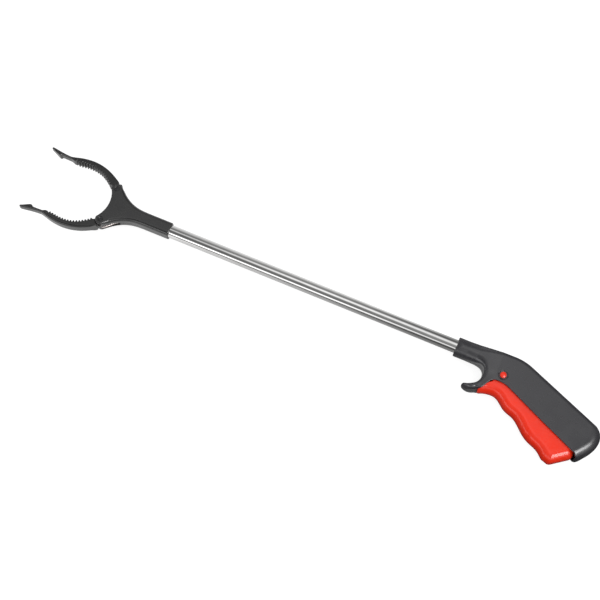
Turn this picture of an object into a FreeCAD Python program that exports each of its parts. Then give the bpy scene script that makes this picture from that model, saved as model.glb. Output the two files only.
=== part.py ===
"""Reacher grabber, 24 inch class, push-rod type.

A moulded pistol handle carries a trigger on a cross pin.  Squeezing the trigger
pushes a rod forward through the shaft tube; two bent wire links carry the push
to a lug on the outer side of each jaw pivot, so both jaws close.  A spring
around the rod opens them again.

Frame: the tool lies on its side.  +X runs along the shaft from the jaws to the
butt of the handle, +Y is the back of the handle, and the jaws and the trigger
move in the XY plane.  Everything is drawn about the shaft axis (y = z = 0);
SHIFT then puts the origin at the middle of the bottom of the bounding box.
Millimetres.
"""
import FreeCAD, Part
import math
import os

Vector = FreeCAD.Vector
ORIGIN = Vector(0, 0, 0)
X_AXIS, Y_AXIS, Z_AXIS = Vector(1, 0, 0), Vector(0, 1, 0), Vector(0, 0, 1)

# "Half" sizes are half thicknesses in Z; X0 and X1 are the low and high X ends.
SHIFT = (-6.575, 16.78, 12.0)
FAR = 20.0                          # Z reach of cutters that pass out of a piece

# Shaft tube, push rod and bushes
TUBE_R, TUBE_WALL = 6.5, 1.0
TUBE_X0, TUBE_X1 = -166.0, 176.0
TUBE_FIT = 0.05
ROD_R = 2.0
ROD_X0, ROD_X1 = -177.0, 203.6
NIB_R, NIB_BASE = 1.45, 5.75        # nibs that drop into holes in the tube
NIB_HOLE_R = 1.6
REAR_NIB_X, FRONT_NIB_X = 166.0, -157.0

# Handle
HANDLE_HALF = 12.0
HANDLE_WALL = 2.2
CAVITY_HALF = HANDLE_HALF - HANDLE_WALL
COLLAR_R, COLLAR_X0 = 9.2, 156.0
HOOK_HALF = 8.8
HANDLE_EDGE_R = 4.2

# Trigger and its pin
PIN = (206.5, -13.1)
PIN_R, PIN_HEAD_R = 2.5, 3.4
PIN_SEAT_R, PIN_SEAT_DEPTH = 4.4, 0.8
NUT_R, NUT_SEAT_R = 4.2, 4.6
NUT_BOTTOM, NUT_TOP = -HANDLE_HALF + 0.35, -HANDLE_HALF + 1.3
TRIGGER_HALF = 9.3
TRIGGER_ARM = 9.9                   # pivot to drive pin
DRIVE_PIN = (PIN[0], PIN[1] + TRIGGER_ARM)
DRIVE_R = 1.5

# Rod end and return spring
REAR_BUSH_END = 177.95
ROD_END_X0, ROD_END_X1 = 194.5, 213.0
ROD_END_HALF = 4.6
SET_SCREW_X = 197.6
SPRING_SEAT_X = 178.0
SPRING_R, SPRING_WIRE_R, SPRING_TURNS = 4.55, 0.5, 5.5

# Yoke, jaws and links; the +Y jaw is drawn, the other is its mirror image
JAW_PIVOT = (-215.2, 18.2)
JAW_PIN_R = 1.8
PRONG_R = 5.5
YOKE_HALF = 7.25
YOKE_X1 = -147.0
YOKE_COLLAR = 7.3                   # half width in Y of the square collar
YOKE_EDGE_R = 3.0
MOUTH_X = -215.1
FORK_HALF = 4.45                    # half height of the fork gap
JAW_HALF, JAW_TIP_HALF = 5.75, 4.2
TONGUE_BOTTOM, TONGUE_TOP = -1.3, 4.3
LUG_R = 5.2                         # jaw pivot to link hole
JAW_CLOSE = 23.0                    # degrees
LINK_R, LINK_Z = 0.9, -2.45
CROSSHEAD_X0, CROSSHEAD_X1 = -178.6, -170.6
CROSSHEAD_HOLE = (-174.6, 3.5)
TEETH, TOOTH_H = 16, 2.1

# Screws
HANDLE_SCREWS = [(193.4, -15.6), (226.5, 1.8), (261.5, -12.6), (302.0, -31.8)]
YOKE_SCREWS = [(-187.0, 0.0), (-205.0, 0.0)]
SCREW_R, SCREW_HEAD_R, SCREW_HEAD_H = 1.45, 2.8, 1.9
SCREW_POINT_H = 1.2


# ------------------------------------------------------------------- helpers
def spline(points):
    curve = Part.BSplineCurve()
    curve.interpolate([Vector(*p) for p in points])
    return curve.toShape()


def arc(start, through, end):
    return Part.Arc(Vector(*start), Vector(*through), Vector(*end)).toShape()


def lines(*points):
    """Straight edges joining the points in turn."""
    return [Part.makeLine(Vector(*a), Vector(*b)) for a, b in zip(points, points[1:])]


def extrude(wire, z0, z1):
    face = Part.Face(wire)
    face.translate(Vector(0, 0, z0))
    return face.extrude(Vector(0, 0, z1 - z0))


def prism(edges, z0, z1):
    return extrude(Part.Wire(edges), z0, z1)


def polygon_prism(points, z0, z1):
    return extrude(Part.makePolygon([Vector(*p) for p in points + points[:1]]), z0, z1)


def cylinder_x(radius, x0, x1):
    return Part.makeCylinder(radius, x1 - x0, Vector(x0, 0, 0), X_AXIS)


def cylinder_z(radius, centre, z0, z1):
    return Part.makeCylinder(radius, z1 - z0, Vector(*centre, z0), Z_AXIS)


def through_hole(radius, centre):
    return cylinder_z(radius, centre, -FAR, FAR)


def box(x0, y0, z0, x1, y1, z1):
    return Part.makeBox(x1 - x0, y1 - y0, z1 - z0, Vector(x0, y0, z0))


def capsule(start, end, radius, z0, z1):
    """Plate with round ends from start to end."""
    dx, dy = end[0] - start[0], end[1] - start[1]
    length = math.hypot(dx, dy)
    nx, ny = -dy / length * radius, dx / length * radius
    body = polygon_prism([(start[0] + nx, start[1] + ny), (end[0] + nx, end[1] + ny),
                          (end[0] - nx, end[1] - ny), (start[0] - nx, start[1] - ny)], z0, z1)
    ends = [cylinder_z(radius, start, z0, z1), cylinder_z(radius, end, z0, z1)]
    return body.fuse(ends).removeSplitter()


def mirror_z(shape):
    return shape.mirror(ORIGIN, Z_AXIS)


def on_side(points, side):
    """The points as they are (side 1) or mirrored in Y (side -1)."""
    return [(x, side * y) for x, y in points]


def near(a, b):
    return abs(a - b) < 1e-3


def middle(edge):
    return edge.valueAt((edge.FirstParameter + edge.LastParameter) / 2.0)


def at_height(edge, z):
    ends = edge.valueAt(edge.FirstParameter), edge.valueAt(edge.LastParameter)
    return all(near(p.z, z) for p in (*ends, middle(edge)))


def on_faces(edge, half):
    """True for an edge in the upper or lower flat face of a plate."""
    return at_height(edge, half) or at_height(edge, -half)


def fillet(shape, radius, pick):
    """Round the edges for which pick(edge, its middle) is true."""
    edges = [e for e in shape.Edges if pick(e, middle(e))]
    if not edges:
        return shape
    for scale in (1.0, 0.85, 0.7, 0.5):
        # The kernel may refuse a radius: go on to a smaller one.
        try:
            rounded = shape.makeFillet(radius * scale, edges)
            if rounded.isValid() and rounded.Volume > 0.5 * shape.Volume:
                return rounded
        except Exception:
            pass
    for edge in edges:
        target = middle(edge)
        match = next((e for e in shape.Edges if (middle(e) - target).Length < 1e-4), None)
        if match is None:
            continue
        # An edge that cannot be rounded even on its own stays sharp.
        try:
            rounded = shape.makeFillet(radius * 0.5, [match])
            if rounded.isValid():
                shape = rounded
        except Exception:
            pass
    return shape


def largest(shape):
    """The biggest solid, without any slivers left by a cut."""
    return max(shape.Solids, key=lambda solid: solid.Volume)


def halves(shape, x0, y0, x1, y1, height):
    """Upper and lower half of a shape, parted at z = 0."""
    return (shape.common(box(x0, y0, 0.0, x1, y1, height)),
            shape.common(box(x0, y0, -height, x1, y1, 0.0)))


def add_nibs(upper, lower, x, top):
    nib = cylinder_z(NIB_R, (x, 0.0), NIB_BASE, top)
    return upper.fuse(nib), lower.fuse(mirror_z(nib))


def cut_screw_holes(upper, lower, centres, pilot_top, head_fit, seat_top):
    """Pilot holes in the upper half, clearance holes and head recesses in the lower."""
    for centre in centres:
        upper = upper.cut(cylinder_z(SCREW_R, centre, -1.0, pilot_top))
        lower = lower.cut(cylinder_z(SCREW_R + 0.15, centre, -FAR, 1.0))
        lower = lower.cut(cylinder_z(SCREW_HEAD_R + head_fit, centre, -FAR, seat_top))
    return upper, lower


def screw(centre, z_head, z_tip):
    """Cross-recess screw, head down, pointing up."""
    x, y = centre
    radius = SCREW_R - 0.03
    head = cylinder_z(SCREW_HEAD_R, centre, z_head, z_head + SCREW_HEAD_H)
    head = fillet(head, 0.8, lambda edge, mid: at_height(edge, z_head))
    z_point = z_tip - SCREW_POINT_H
    shank = cylinder_z(radius, centre, z_head + SCREW_HEAD_H - 0.1, z_point)
    point = Part.makeCone(radius, 0.35, z_tip - z_point, Vector(x, y, z_point), Z_AXIS)
    body = head.fuse([shank, point]).removeSplitter()
    for angle in (20, 110):
        recess = box(x - 1.6, y - 0.35, z_head - 0.5, x + 1.6, y + 0.35, z_head + 1.0)
        recess.rotate(Vector(x, y, 0), Z_AXIS, angle)
        body = body.cut(recess)
    return body


def screws(centres, z_head, z_tip):
    return Part.makeCompound([screw(centre, z_head, z_tip) for centre in centres])


# -------------------------------------------------------------------- handle
# All outlines are (x, y) points.
# Edge of the grip along the trigger opening, from the heel to the hook
SEAM = [(291.5, -57.0), (286.5, -54.9), (275.6, -49.9), (264.0, -44.7), (252.6, -39.5),
        (240.6, -33.9), (229.0, -28.5), (222.7, -25.5), (216.9, -22.8), (212.8, -21.1),
        (208.5, -20.2), (204.4, -19.9), (201.4, -20.1), (199.0, -20.9)]
# Curves from the hook up to the collar
THROAT = [(191.2, -24.0), (189.4, -20.6), (188.75, -17.0)]
NECK = [(188.75, -17.0), (188.3, -14.0), (187.0, -11.6), (184.9, -9.9), (182.0, -8.9)]
# Corners of the back and butt, each with its rounding radius
GRIP_CORNERS = [((220.9, 9.7), 46.0), ((311.8, -27.99), 6.5),
                ((309.9, -46.6), 17.0), ((298.2, -60.4), 3.4)]
# Sections of the swell from collar to grip: x, low y, high y, half height, corner radius
SWELL = [(168.0, -COLLAR_R, COLLAR_R, COLLAR_R, COLLAR_R - 0.02),
         (178.0, -9.15, 9.25, 9.75, 8.2),
         (189.0, -9.05, 9.4, 11.1, 6.2),
         (200.0, -8.9, 9.5, HANDLE_HALF, HANDLE_EDGE_R)]
HOOK = [(199.0, -20.9), (197.1, -22.6), (195.6, -25.0), (194.1, -27.8), (192.5, -30.4),
        (190.6, -32.4), (187.6, -34.2), (184.6, -35.6), (181.0, -36.7), (177.4, -36.9),
        (174.9, -35.9), (173.7, -33.9), (174.5, -31.9), (177.0, -31.0), (180.6, -30.2),
        (183.6, -28.9), (186.2, -26.6), (188.0, -23.2), (188.75, -19.2), (188.6, -15.6),
        (189.5, -12.0)]
# Cavity: curve behind the pivot, straight back wall, curve round the butt
CAVITY_TOP = [(212.0, 7.2), (218.5, 6.7), (224.0, 5.4), (231.0, 2.9), (239.0, -0.4)]
CAVITY_BUTT = [(293.4, -22.9), (299.0, -25.5), (303.5, -28.7), (306.6, -32.3),
               (307.8, -36.0), (306.5, -39.6), (303.6, -44.2)]
CAVITY_FRONT = [(303.6, -44.2), (293.2, -60.6), (286.0, -62.0), (203.0, -25.6),
                (198.8, -20.95), (197.5, -17.0), (197.5, 6.9)]


def swell_section(x, y0, y1, half, radius):
    """Rounded rectangle across the shaft axis."""
    inset = radius * (1.0 - math.sqrt(0.5))
    corners = [
        (y1 - radius, half), (y1 - inset, half - inset), (y1, half - radius),
        (y1, -half + radius), (y1 - inset, -half + inset), (y1 - radius, -half),
        (y0 + radius, -half), (y0 + inset, -half + inset), (y0, -half + radius),
        (y0, half - radius), (y0 + inset, half - inset), (y0 + radius, half)]
    points = [(x, y, z) for y, z in corners]
    edges = []
    for i in range(0, 12, 3):
        edges.append(arc(*points[i:i + 3]))
        edges += lines(points[i + 2], points[(i + 3) % 12])
    return Part.Wire(edges)


def rounded_grip_edge(edge, mid):
    """Face edges of the back, butt and heel, clear of the trigger opening."""
    if mid.x < 199.5 or not on_faces(edge, HANDLE_HALF):
        return False
    upper_back = mid.y > -8.0 and mid.x < 245.0
    above_seam = mid.x > 245.0 and mid.y + 57.5 > (291.5 - mid.x) * 0.46 + 4.0
    heel = mid.x > 291.8 and mid.y < -50.0
    return upper_back or above_seam or heel


def grip():
    corners = [corner for corner, _ in GRIP_CORNERS]
    edges = lines((182.0, -8.9), (199.0, -8.0), (199.0, 9.5), *corners, SEAM[0])
    edges.append(spline(SEAM))
    edges += lines(SEAM[-1], (196.5, -24.0), THROAT[0])
    edges += [spline(THROAT), spline(NECK)]
    body = prism(edges, -HANDLE_HALF, HANDLE_HALF)
    for (x, y), radius in GRIP_CORNERS:
        body = fillet(body, radius, lambda edge, mid: math.hypot(mid.x - x, mid.y - y) < 1e-3
                      and near(mid.z, 0.0))
    body = fillet(body, HANDLE_EDGE_R, rounded_grip_edge)
    # The round collar swells into the flat-sided grip.
    body = body.fuse(Part.makeLoft([swell_section(*row) for row in SWELL], True, False))
    collar = cylinder_x(COLLAR_R, COLLAR_X0, 200.0)
    collar = fillet(collar, 0.9, lambda edge, mid: near(mid.x, COLLAR_X0))
    return body.fuse(collar)


def hook():
    edges = [spline(HOOK)] + lines(HOOK[-1], (201.0, -12.0), HOOK[0])
    body = prism(edges, -HOOK_HALF, HOOK_HALF)
    return fillet(body, 2.5, lambda edge, mid: on_faces(edge, HOOK_HALF) and mid.x < 190.0)


def handle_cavity():
    edges = lines((197.5, 6.9), CAVITY_TOP[0]) + [spline(CAVITY_TOP)]
    edges += lines(CAVITY_TOP[-1], CAVITY_BUTT[0]) + [spline(CAVITY_BUTT)]
    edges += lines(*CAVITY_FRONT)
    return prism(edges, -CAVITY_HALF, CAVITY_HALF)


def handle_shells():
    outer = grip().fuse(hook()).removeSplitter()
    bore = cylinder_x(TUBE_R + TUBE_FIT, COLLAR_X0 - 1.0, 178.0)
    bore = bore.fuse(cylinder_x(6.0, 177.9, 198.0))
    body = outer.cut(handle_cavity()).cut(bore)

    # Screw towers and ribs run a little way into the side walls.
    inner = CAVITY_HALF + 0.2
    for centre in HANDLE_SCREWS[1:]:
        body = body.fuse(cylinder_z(3.3, centre, -inner, inner).common(outer))
    # Pivot bosses on the side walls, beside the trigger
    boss_z0, boss_z1 = CAVITY_HALF - 0.35, CAVITY_HALF + 0.5
    for z0, z1 in ((boss_z0, boss_z1), (-boss_z1, -boss_z0)):
        body = body.fuse(cylinder_z(5.2, PIN, z0, z1))
    # Two ribs on the straight back wall
    (x0, y0), (x1, y1) = CAVITY_TOP[-1], CAVITY_BUTT[0]
    for x in (246.0, 279.0):
        y = y0 + (x - x0) * (y1 - y0) / (x1 - x0)
        body = body.fuse(box(x - 0.8, y - 3.2, -inner, x + 0.8, y + 0.8, inner))

    body = body.removeSplitter()
    body = body.cut(through_hole(PIN_R, PIN))
    upper, lower = halves(body, 140, -80, 330, 40, 60.0)
    upper, lower = add_nibs(upper, lower, REAR_NIB_X, 7.2)
    upper, lower = cut_screw_holes(upper, lower, HANDLE_SCREWS, pilot_top=8.0, head_fit=0.2,
                                   seat_top=-HANDLE_HALF + 2.3)
    # Seat for the pin head above, recess for the push nut below
    upper = upper.cut(cylinder_z(PIN_SEAT_R, PIN, HANDLE_HALF - PIN_SEAT_DEPTH, FAR))
    lower = lower.cut(cylinder_z(NUT_SEAT_R, PIN, -FAR, NUT_TOP))
    return largest(upper), largest(lower)


# ------------------------------------------------------------------- trigger
def trigger_pin():
    """Cross pin with a domed head on its upper end."""
    shaft = cylinder_z(PIN_R - 0.02, PIN, -HANDLE_HALF + 0.25, HANDLE_HALF - 0.3)
    dome_r, dome_rise = 5.0, 1.55
    dome = Part.makeSphere(dome_r, Vector(*PIN, HANDLE_HALF + dome_rise - dome_r))
    head = dome.common(cylinder_z(PIN_HEAD_R, PIN, HANDLE_HALF - PIN_SEAT_DEPTH, FAR))
    return shaft.fuse(head).removeSplitter()


def pin_push_nut():
    nut = cylinder_z(NUT_R, PIN, NUT_BOTTOM, NUT_TOP).cut(cylinder_z(PIN_R, PIN, -FAR, 0))
    return fillet(nut, 0.3, lambda edge, mid: at_height(edge, NUT_BOTTOM)
                  and abs(edge.BoundBox.XLength - 2 * NUT_R) < 0.1)


# Finger side of the trigger, from the hook to the free end
FINGER = [(191.6, -33.3), (194.6, -32.0), (198.6, -31.0), (202.6, -30.5), (206.6, -30.9),
          (210.6, -32.6), (214.4, -35.5), (218.6, -38.9), (223.0, -41.1), (228.0, -42.8),
          (232.2, -45.1), (236.2, -48.4), (240.2, -52.2), (244.4, -55.9), (249.0, -58.9),
          (254.0, -61.1), (258.8, -63.1), (262.6, -65.6), (266.2, -68.9), (269.0, -70.9),
          (271.8, -71.5), (274.4, -70.6)]
TRIGGER_END = [(288.6, -60.3), (291.4, -57.9), (292.4, -55.4), (291.9, -52.9), (290.2, -50.9)]
TRIGGER_SHOULDER = [(222.0, -19.6), (216.5, -16.6), (212.7, -12.6)]
TRIGGER_FRONT = [(199.7, -17.6), (199.6, -20.9), (197.6, -23.2), (196.15, -25.5),
                 (194.6, -28.2), (193.0, -30.8), (191.6, -33.3)]
POCKET_FLOOR = [(222.0, -30.0), (228.0, -33.4), (236.0, -39.5), (244.0, -47.2),
                (252.0, -51.6), (260.0, -55.6), (267.0, -61.0)]
TRIGGER_RIB = [(247.4, -57.0), (249.4, -57.9), (256.4, -42.5), (254.4, -41.0), (247.0, -40.0)]


def trigger_blank():
    hub_end = (200.32, -12.6)
    edges = [spline(FINGER)] + lines(FINGER[-1], TRIGGER_END[0]) + [spline(TRIGGER_END)]
    edges += lines(TRIGGER_END[-1], TRIGGER_SHOULDER[0])
    edges += [spline(TRIGGER_SHOULDER), arc(TRIGGER_SHOULDER[-1], (206.5, -6.88), hub_end)]
    edges += lines(hub_end, TRIGGER_FRONT[0]) + [spline(TRIGGER_FRONT)]
    return prism(edges, -TRIGGER_HALF, TRIGGER_HALF)


def trigger():
    # The length and place limits pick only some of the face edges.
    body = fillet(trigger_blank(), 1.3, lambda edge, mid: on_faces(edge, TRIGGER_HALF)
                  and (16.0 < edge.Length < 19.0 or (mid.x > 289.0 and edge.Length < 14.0)))
    # Channel open on the +Y side, with one rib across it
    pocket_half = TRIGGER_HALF - 2.4
    edges = [spline(POCKET_FLOOR)]
    edges += lines(POCKET_FLOOR[-1], (272.0, -62.6), (284.6, -54.4), (290.0, -44.0),
                   (226.0, -15.0), POCKET_FLOOR[0])
    body = body.cut(prism(edges, -pocket_half, pocket_half))
    rib = polygon_prism(TRIGGER_RIB, -TRIGGER_HALF + 2.0, TRIGGER_HALF - 2.0)
    body = body.fuse(rib.common(trigger_blank()))
    # Fork that straddles the rod end
    body = body.cut(box(196.0, -6.95, -FAR, 222.0, 10.0, FAR))
    for z0, z1 in ((4.9, 8.6), (-8.6, -4.9)):
        body = body.fuse(capsule((PIN[0], PIN[1] + 2.0), DRIVE_PIN, 3.4, z0, z1))
    body = body.removeSplitter()
    body = body.cut(through_hole(PIN_R + 0.05, PIN))
    return largest(body.cut(through_hole(DRIVE_R + 0.02, DRIVE_PIN)))


# -------------------------------------------------- tube, rod and rod parts
def shaft_tube():
    tube = cylinder_x(TUBE_R, TUBE_X0, TUBE_X1)
    tube = tube.cut(cylinder_x(TUBE_R - TUBE_WALL, TUBE_X0 - 1, TUBE_X1 + 1))
    for x in (REAR_NIB_X, FRONT_NIB_X):
        tube = tube.cut(through_hole(NIB_HOLE_R, (x, 0.0)))
    return tube


def push_rod():
    return fillet(cylinder_x(ROD_R, ROD_X0, ROD_X1), 0.4, lambda edge, mid: True)


def flange_bush(x_inside, x_face, x_outside):
    """Bush from inside the tube to its end face, with a flange beyond the face."""
    plug = cylinder_x(5.47, *sorted((x_inside, x_face)))
    bush = plug.fuse(cylinder_x(6.35, *sorted((x_face, x_outside))))
    x0, x1 = sorted((x_inside, x_outside))
    return bush.cut(cylinder_x(ROD_R + 0.05, x0 - 1, x1 + 1)).removeSplitter()


def rod_end():
    """Block with a slot for the drive pin, behind a round collar for the spring."""
    top = 4.6
    block = box(200.5, -6.1, -ROD_END_HALF, ROD_END_X1, top, ROD_END_HALF)
    block = fillet(block, 1.2, lambda edge, mid: near(mid.x, ROD_END_X1) or near(mid.y, top))
    body = block.fuse(cylinder_x(5.5, ROD_END_X0, 201.0)).removeSplitter()
    body = body.cut(cylinder_x(ROD_R, 190.0, ROD_X1))
    slot_x, slot_r = DRIVE_PIN[0], DRIVE_R + 0.06
    slot_top = DRIVE_PIN[1] + 0.25
    body = body.cut(box(slot_x - slot_r, -10.0, -FAR, slot_x + slot_r, slot_top, FAR))
    body = body.cut(through_hole(slot_r, (slot_x, slot_top)))
    # Set screw hole, from the rod bore up through the collar
    return largest(body.cut(cylinder_z(1.25, (SET_SCREW_X, 0.0), 1.7, 9.0)))


def rod_end_set_screw():
    body = cylinder_z(1.23, (SET_SCREW_X, 0.0), 2.0, 4.7)
    return body.cut(box(SET_SCREW_X - 1.6, -0.25, 4.1, SET_SCREW_X + 1.6, 0.25, 6.0))


def return_spring():
    """Spring around the rod, between the rear bush and the rod end."""
    x0 = SPRING_SEAT_X + SPRING_WIRE_R
    length = ROD_END_X0 - SPRING_WIRE_R - x0
    helix = Part.makeHelix(length / SPRING_TURNS, length, SPRING_R)
    profile = Part.Wire([Part.makeCircle(SPRING_WIRE_R, Vector(SPRING_R, 0, 0), Y_AXIS)])
    spring = Part.Wire(helix.Edges).makePipeShell([profile], True, True)
    spring.rotate(ORIGIN, Y_AXIS, 90)
    spring.translate(Vector(x0, 0, 0))
    # Keep it inside the two seats.
    return spring.common(box(SPRING_SEAT_X + 0.02, -10, -10, ROD_END_X0 - 0.02, 10, 10))


def crosshead():
    """Block on the front end of the rod, with a hole for each link."""
    body = box(CROSSHEAD_X0, -4.85, LINK_Z + LINK_R + 0.15, CROSSHEAD_X1, 4.85, 3.5)
    body = fillet(body, 0.8, lambda edge, mid: near(mid.x, CROSSHEAD_X0)
                  or near(mid.x, CROSSHEAD_X1))
    body = body.cut(cylinder_x(ROD_R, ROD_X0, -160.0))
    for centre in on_side([CROSSHEAD_HOLE], 1) + on_side([CROSSHEAD_HOLE], -1):
        body = body.cut(through_hole(LINK_R + 0.04, centre))
    return largest(body)


# --------------------------------------------------------------------- links
def around_pivot(radius, angle):
    """Point at a radius and an angle (radians) from the +Y jaw pivot."""
    return (JAW_PIVOT[0] + radius * math.cos(angle), JAW_PIVOT[1] + radius * math.sin(angle))


LUG = around_pivot(LUG_R, math.radians(90.0 - JAW_CLOSE / 2.0))
LINK_PATH = [CROSSHEAD_HOLE, (-180.5, 4.3), (-187.0, 5.1), (-193.0, 6.7), (-199.5, 10.4),
             (-204.8, 14.9), (-208.6, 18.9), LUG]


def link(side):
    """Bent wire, hooked up at the crosshead and at the jaw lug."""
    path = [Vector(x, y, LINK_Z) for x, y in on_side(LINK_PATH, side)]
    edge = spline(path)
    tangent = edge.Curve.tangent(edge.Curve.FirstParameter)[0]
    profile = Part.Wire([Part.makeCircle(LINK_R, path[0], tangent)])
    wire = Part.Wire([edge]).makePipeShell([profile], True, False)
    ends = []
    for bend, z_tip in ((path[0], 3.3), (path[-1], 3.9)):
        ends.append(Part.makeSphere(LINK_R, bend))
        ends.append(cylinder_z(LINK_R, (bend.x, bend.y), LINK_Z, z_tip))
    return wire.fuse(ends).removeSplitter()


# ---------------------------------------------------------------------- yoke
PRONG_START, PRONG_END = math.radians(52.0), math.radians(196.0)
# +Y side of the yoke, from the tube end to the prong
YOKE_SIDE = [(YOKE_X1, YOKE_COLLAR), (-160.0, YOKE_COLLAR), (-170.0, YOKE_COLLAR),
             (-178.0, 7.4), (-184.0, 7.9), (-189.0, 8.9), (-194.0, 10.6), (-199.0, 13.1),
             (-204.0, 16.5), (-208.0, 19.8), around_pivot(PRONG_R, PRONG_START)]
# Channel for a link, widening into a slot on the outer edge
LINK_CHANNEL = [(-180.0, 0.6), (-180.0, 5.9), (-187.0, 6.7), (-191.5, 7.7), (-197.0, 10.6),
                (-198.6, 13.8), (-204.0, 19.5), (-211.0, 27.0), (-214.0, 27.0),
                (-219.0, 16.0), (-213.5, 12.4), (-208.6, 11.2), (-203.0, 8.0),
                (-197.5, 4.9), (-191.5, 3.7), (-184.0, 3.3)]
# Mouth of the fork towards the jaw
FORK_MOUTH = [JAW_PIVOT, (-213.0, 30.0), (-232.0, 30.0), (-232.0, 14.0), (-221.8, 14.6)]


def yoke_blank():
    prong = [around_pivot(PRONG_R, angle)
             for angle in (PRONG_START, (PRONG_START + PRONG_END) / 2, PRONG_END)]
    lower_prong = on_side(prong[::-1], -1)
    edges = lines((YOKE_X1, -YOKE_COLLAR), (YOKE_X1, YOKE_COLLAR))
    edges += [spline(YOKE_SIDE), arc(*prong), arc(prong[-1], (MOUTH_X, 0.0), lower_prong[0]),
              arc(*lower_prong), spline(on_side(YOKE_SIDE[::-1], -1))]
    body = prism(edges, -YOKE_HALF, YOKE_HALF)
    body = fillet(body, YOKE_EDGE_R, lambda edge, mid: on_faces(edge, YOKE_HALF)
                  and mid.x > -212.0 and abs(mid.y) > 3.0)
    return fillet(body, 0.8, lambda edge, mid: near(mid.x, YOKE_X1))


def yoke_halves():
    # Room for the tube with its bush flange, then for the crosshead
    body = yoke_blank().cut(cylinder_x(TUBE_R + TUBE_FIT, -167.8, -140.0))
    body = body.cut(cylinder_x(6.15, -182.4, -167.7))
    recess_z = YOKE_HALF - 0.9
    for side in (1, -1):
        pivot = on_side([JAW_PIVOT], side)[0]
        body = body.cut(polygon_prism(on_side(LINK_CHANNEL, side), -FORK_HALF, 1.0))
        body = body.cut(cylinder_z(6.35, pivot, -FORK_HALF, FORK_HALF))
        body = body.cut(polygon_prism(on_side(FORK_MOUTH, side), -FORK_HALF, FORK_HALF))
        # Bore for the jaw pin, with a round recess at each end
        body = body.cut(through_hole(JAW_PIN_R, pivot))
        body = body.cut(cylinder_z(2.75, pivot, recess_z, FAR))
        body = body.cut(cylinder_z(2.75, pivot, -FAR, -recess_z))
    upper, lower = halves(body, -240, -40, -130, 40, 30)
    upper, lower = add_nibs(upper, lower, FRONT_NIB_X, 7.0)
    upper, lower = cut_screw_holes(upper, lower, YOKE_SCREWS, pilot_top=5.2, head_fit=0.1,
                                   seat_top=-YOKE_HALF + 2.2)
    return largest(upper), largest(lower)


# ---------------------------------------------------------------------- jaws
JAW_OUTER = [(-216.6, 25.8), (-221.8, 29.3), (-226.2, 31.7), (-231.2, 34.0), (-236.6, 35.8),
             (-242.0, 37.1), (-247.6, 37.8), (-253.2, 37.9), (-258.8, 37.4), (-264.6, 36.4),
             (-270.2, 34.9), (-275.0, 33.8)]
TIP_OUTER = [(-275.0, 33.8), (-280.0, 34.1), (-286.0, 34.8), (-291.6, 35.7), (-296.0, 36.4)]
TIP_INNER = [(-296.0, 36.4), (-297.5, 36.3), (-298.2, 35.5), (-297.8, 34.5), (-287.4, 30.3),
             (-286.0, 30.4), (-284.6, 31.5), (-279.0, 31.4), (-274.0, 31.2), (-270.4, 30.3),
             (-267.9, 30.4)]
# Curve through the roots of the teeth, from the jaw root to the tip
TOOTH_BASE = [(-222.6, 20.6), (-225.2, 23.0), (-228.2, 25.3), (-231.6, 27.6),
              (-235.4, 29.7), (-239.6, 31.5), (-244.0, 32.6), (-248.6, 33.2),
              (-253.2, 33.3), (-257.8, 32.9), (-262.2, 32.2), (-267.0, 31.7)]
BASE_STEPS = 400


def tooth_points():
    """Saw-tooth inner edge of the +Y jaw, from the root to the tip."""
    curve = spline(TOOTH_BASE).Curve
    first, span = curve.FirstParameter, curve.LastParameter - curve.FirstParameter
    samples = [curve.value(first + span * i / BASE_STEPS) for i in range(BASE_STEPS + 1)]
    lengths = [0.0]
    for start, end in zip(samples, samples[1:]):
        lengths.append(lengths[-1] + (end - start).Length)

    def point_at(length, height):
        """Point at a length along the curve, raised towards the other jaw."""
        i = 0
        while i < BASE_STEPS - 1 and lengths[i + 1] < length:
            i += 1
        step = samples[i + 1] - samples[i]
        base = samples[i] + step * ((length - lengths[i]) / (lengths[i + 1] - lengths[i]))
        step.normalize()
        return (base.x - step.y * height, base.y + step.x * height)

    pitch = lengths[-1] / TEETH
    points = [point_at(pitch * (k + fraction), height) for k in range(TEETH)
              for fraction, height in ((0.02, 0.0), (0.5, TOOTH_H), (0.98, 0.0))]
    return points + [point_at(lengths[-1], 0.0)]


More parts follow.
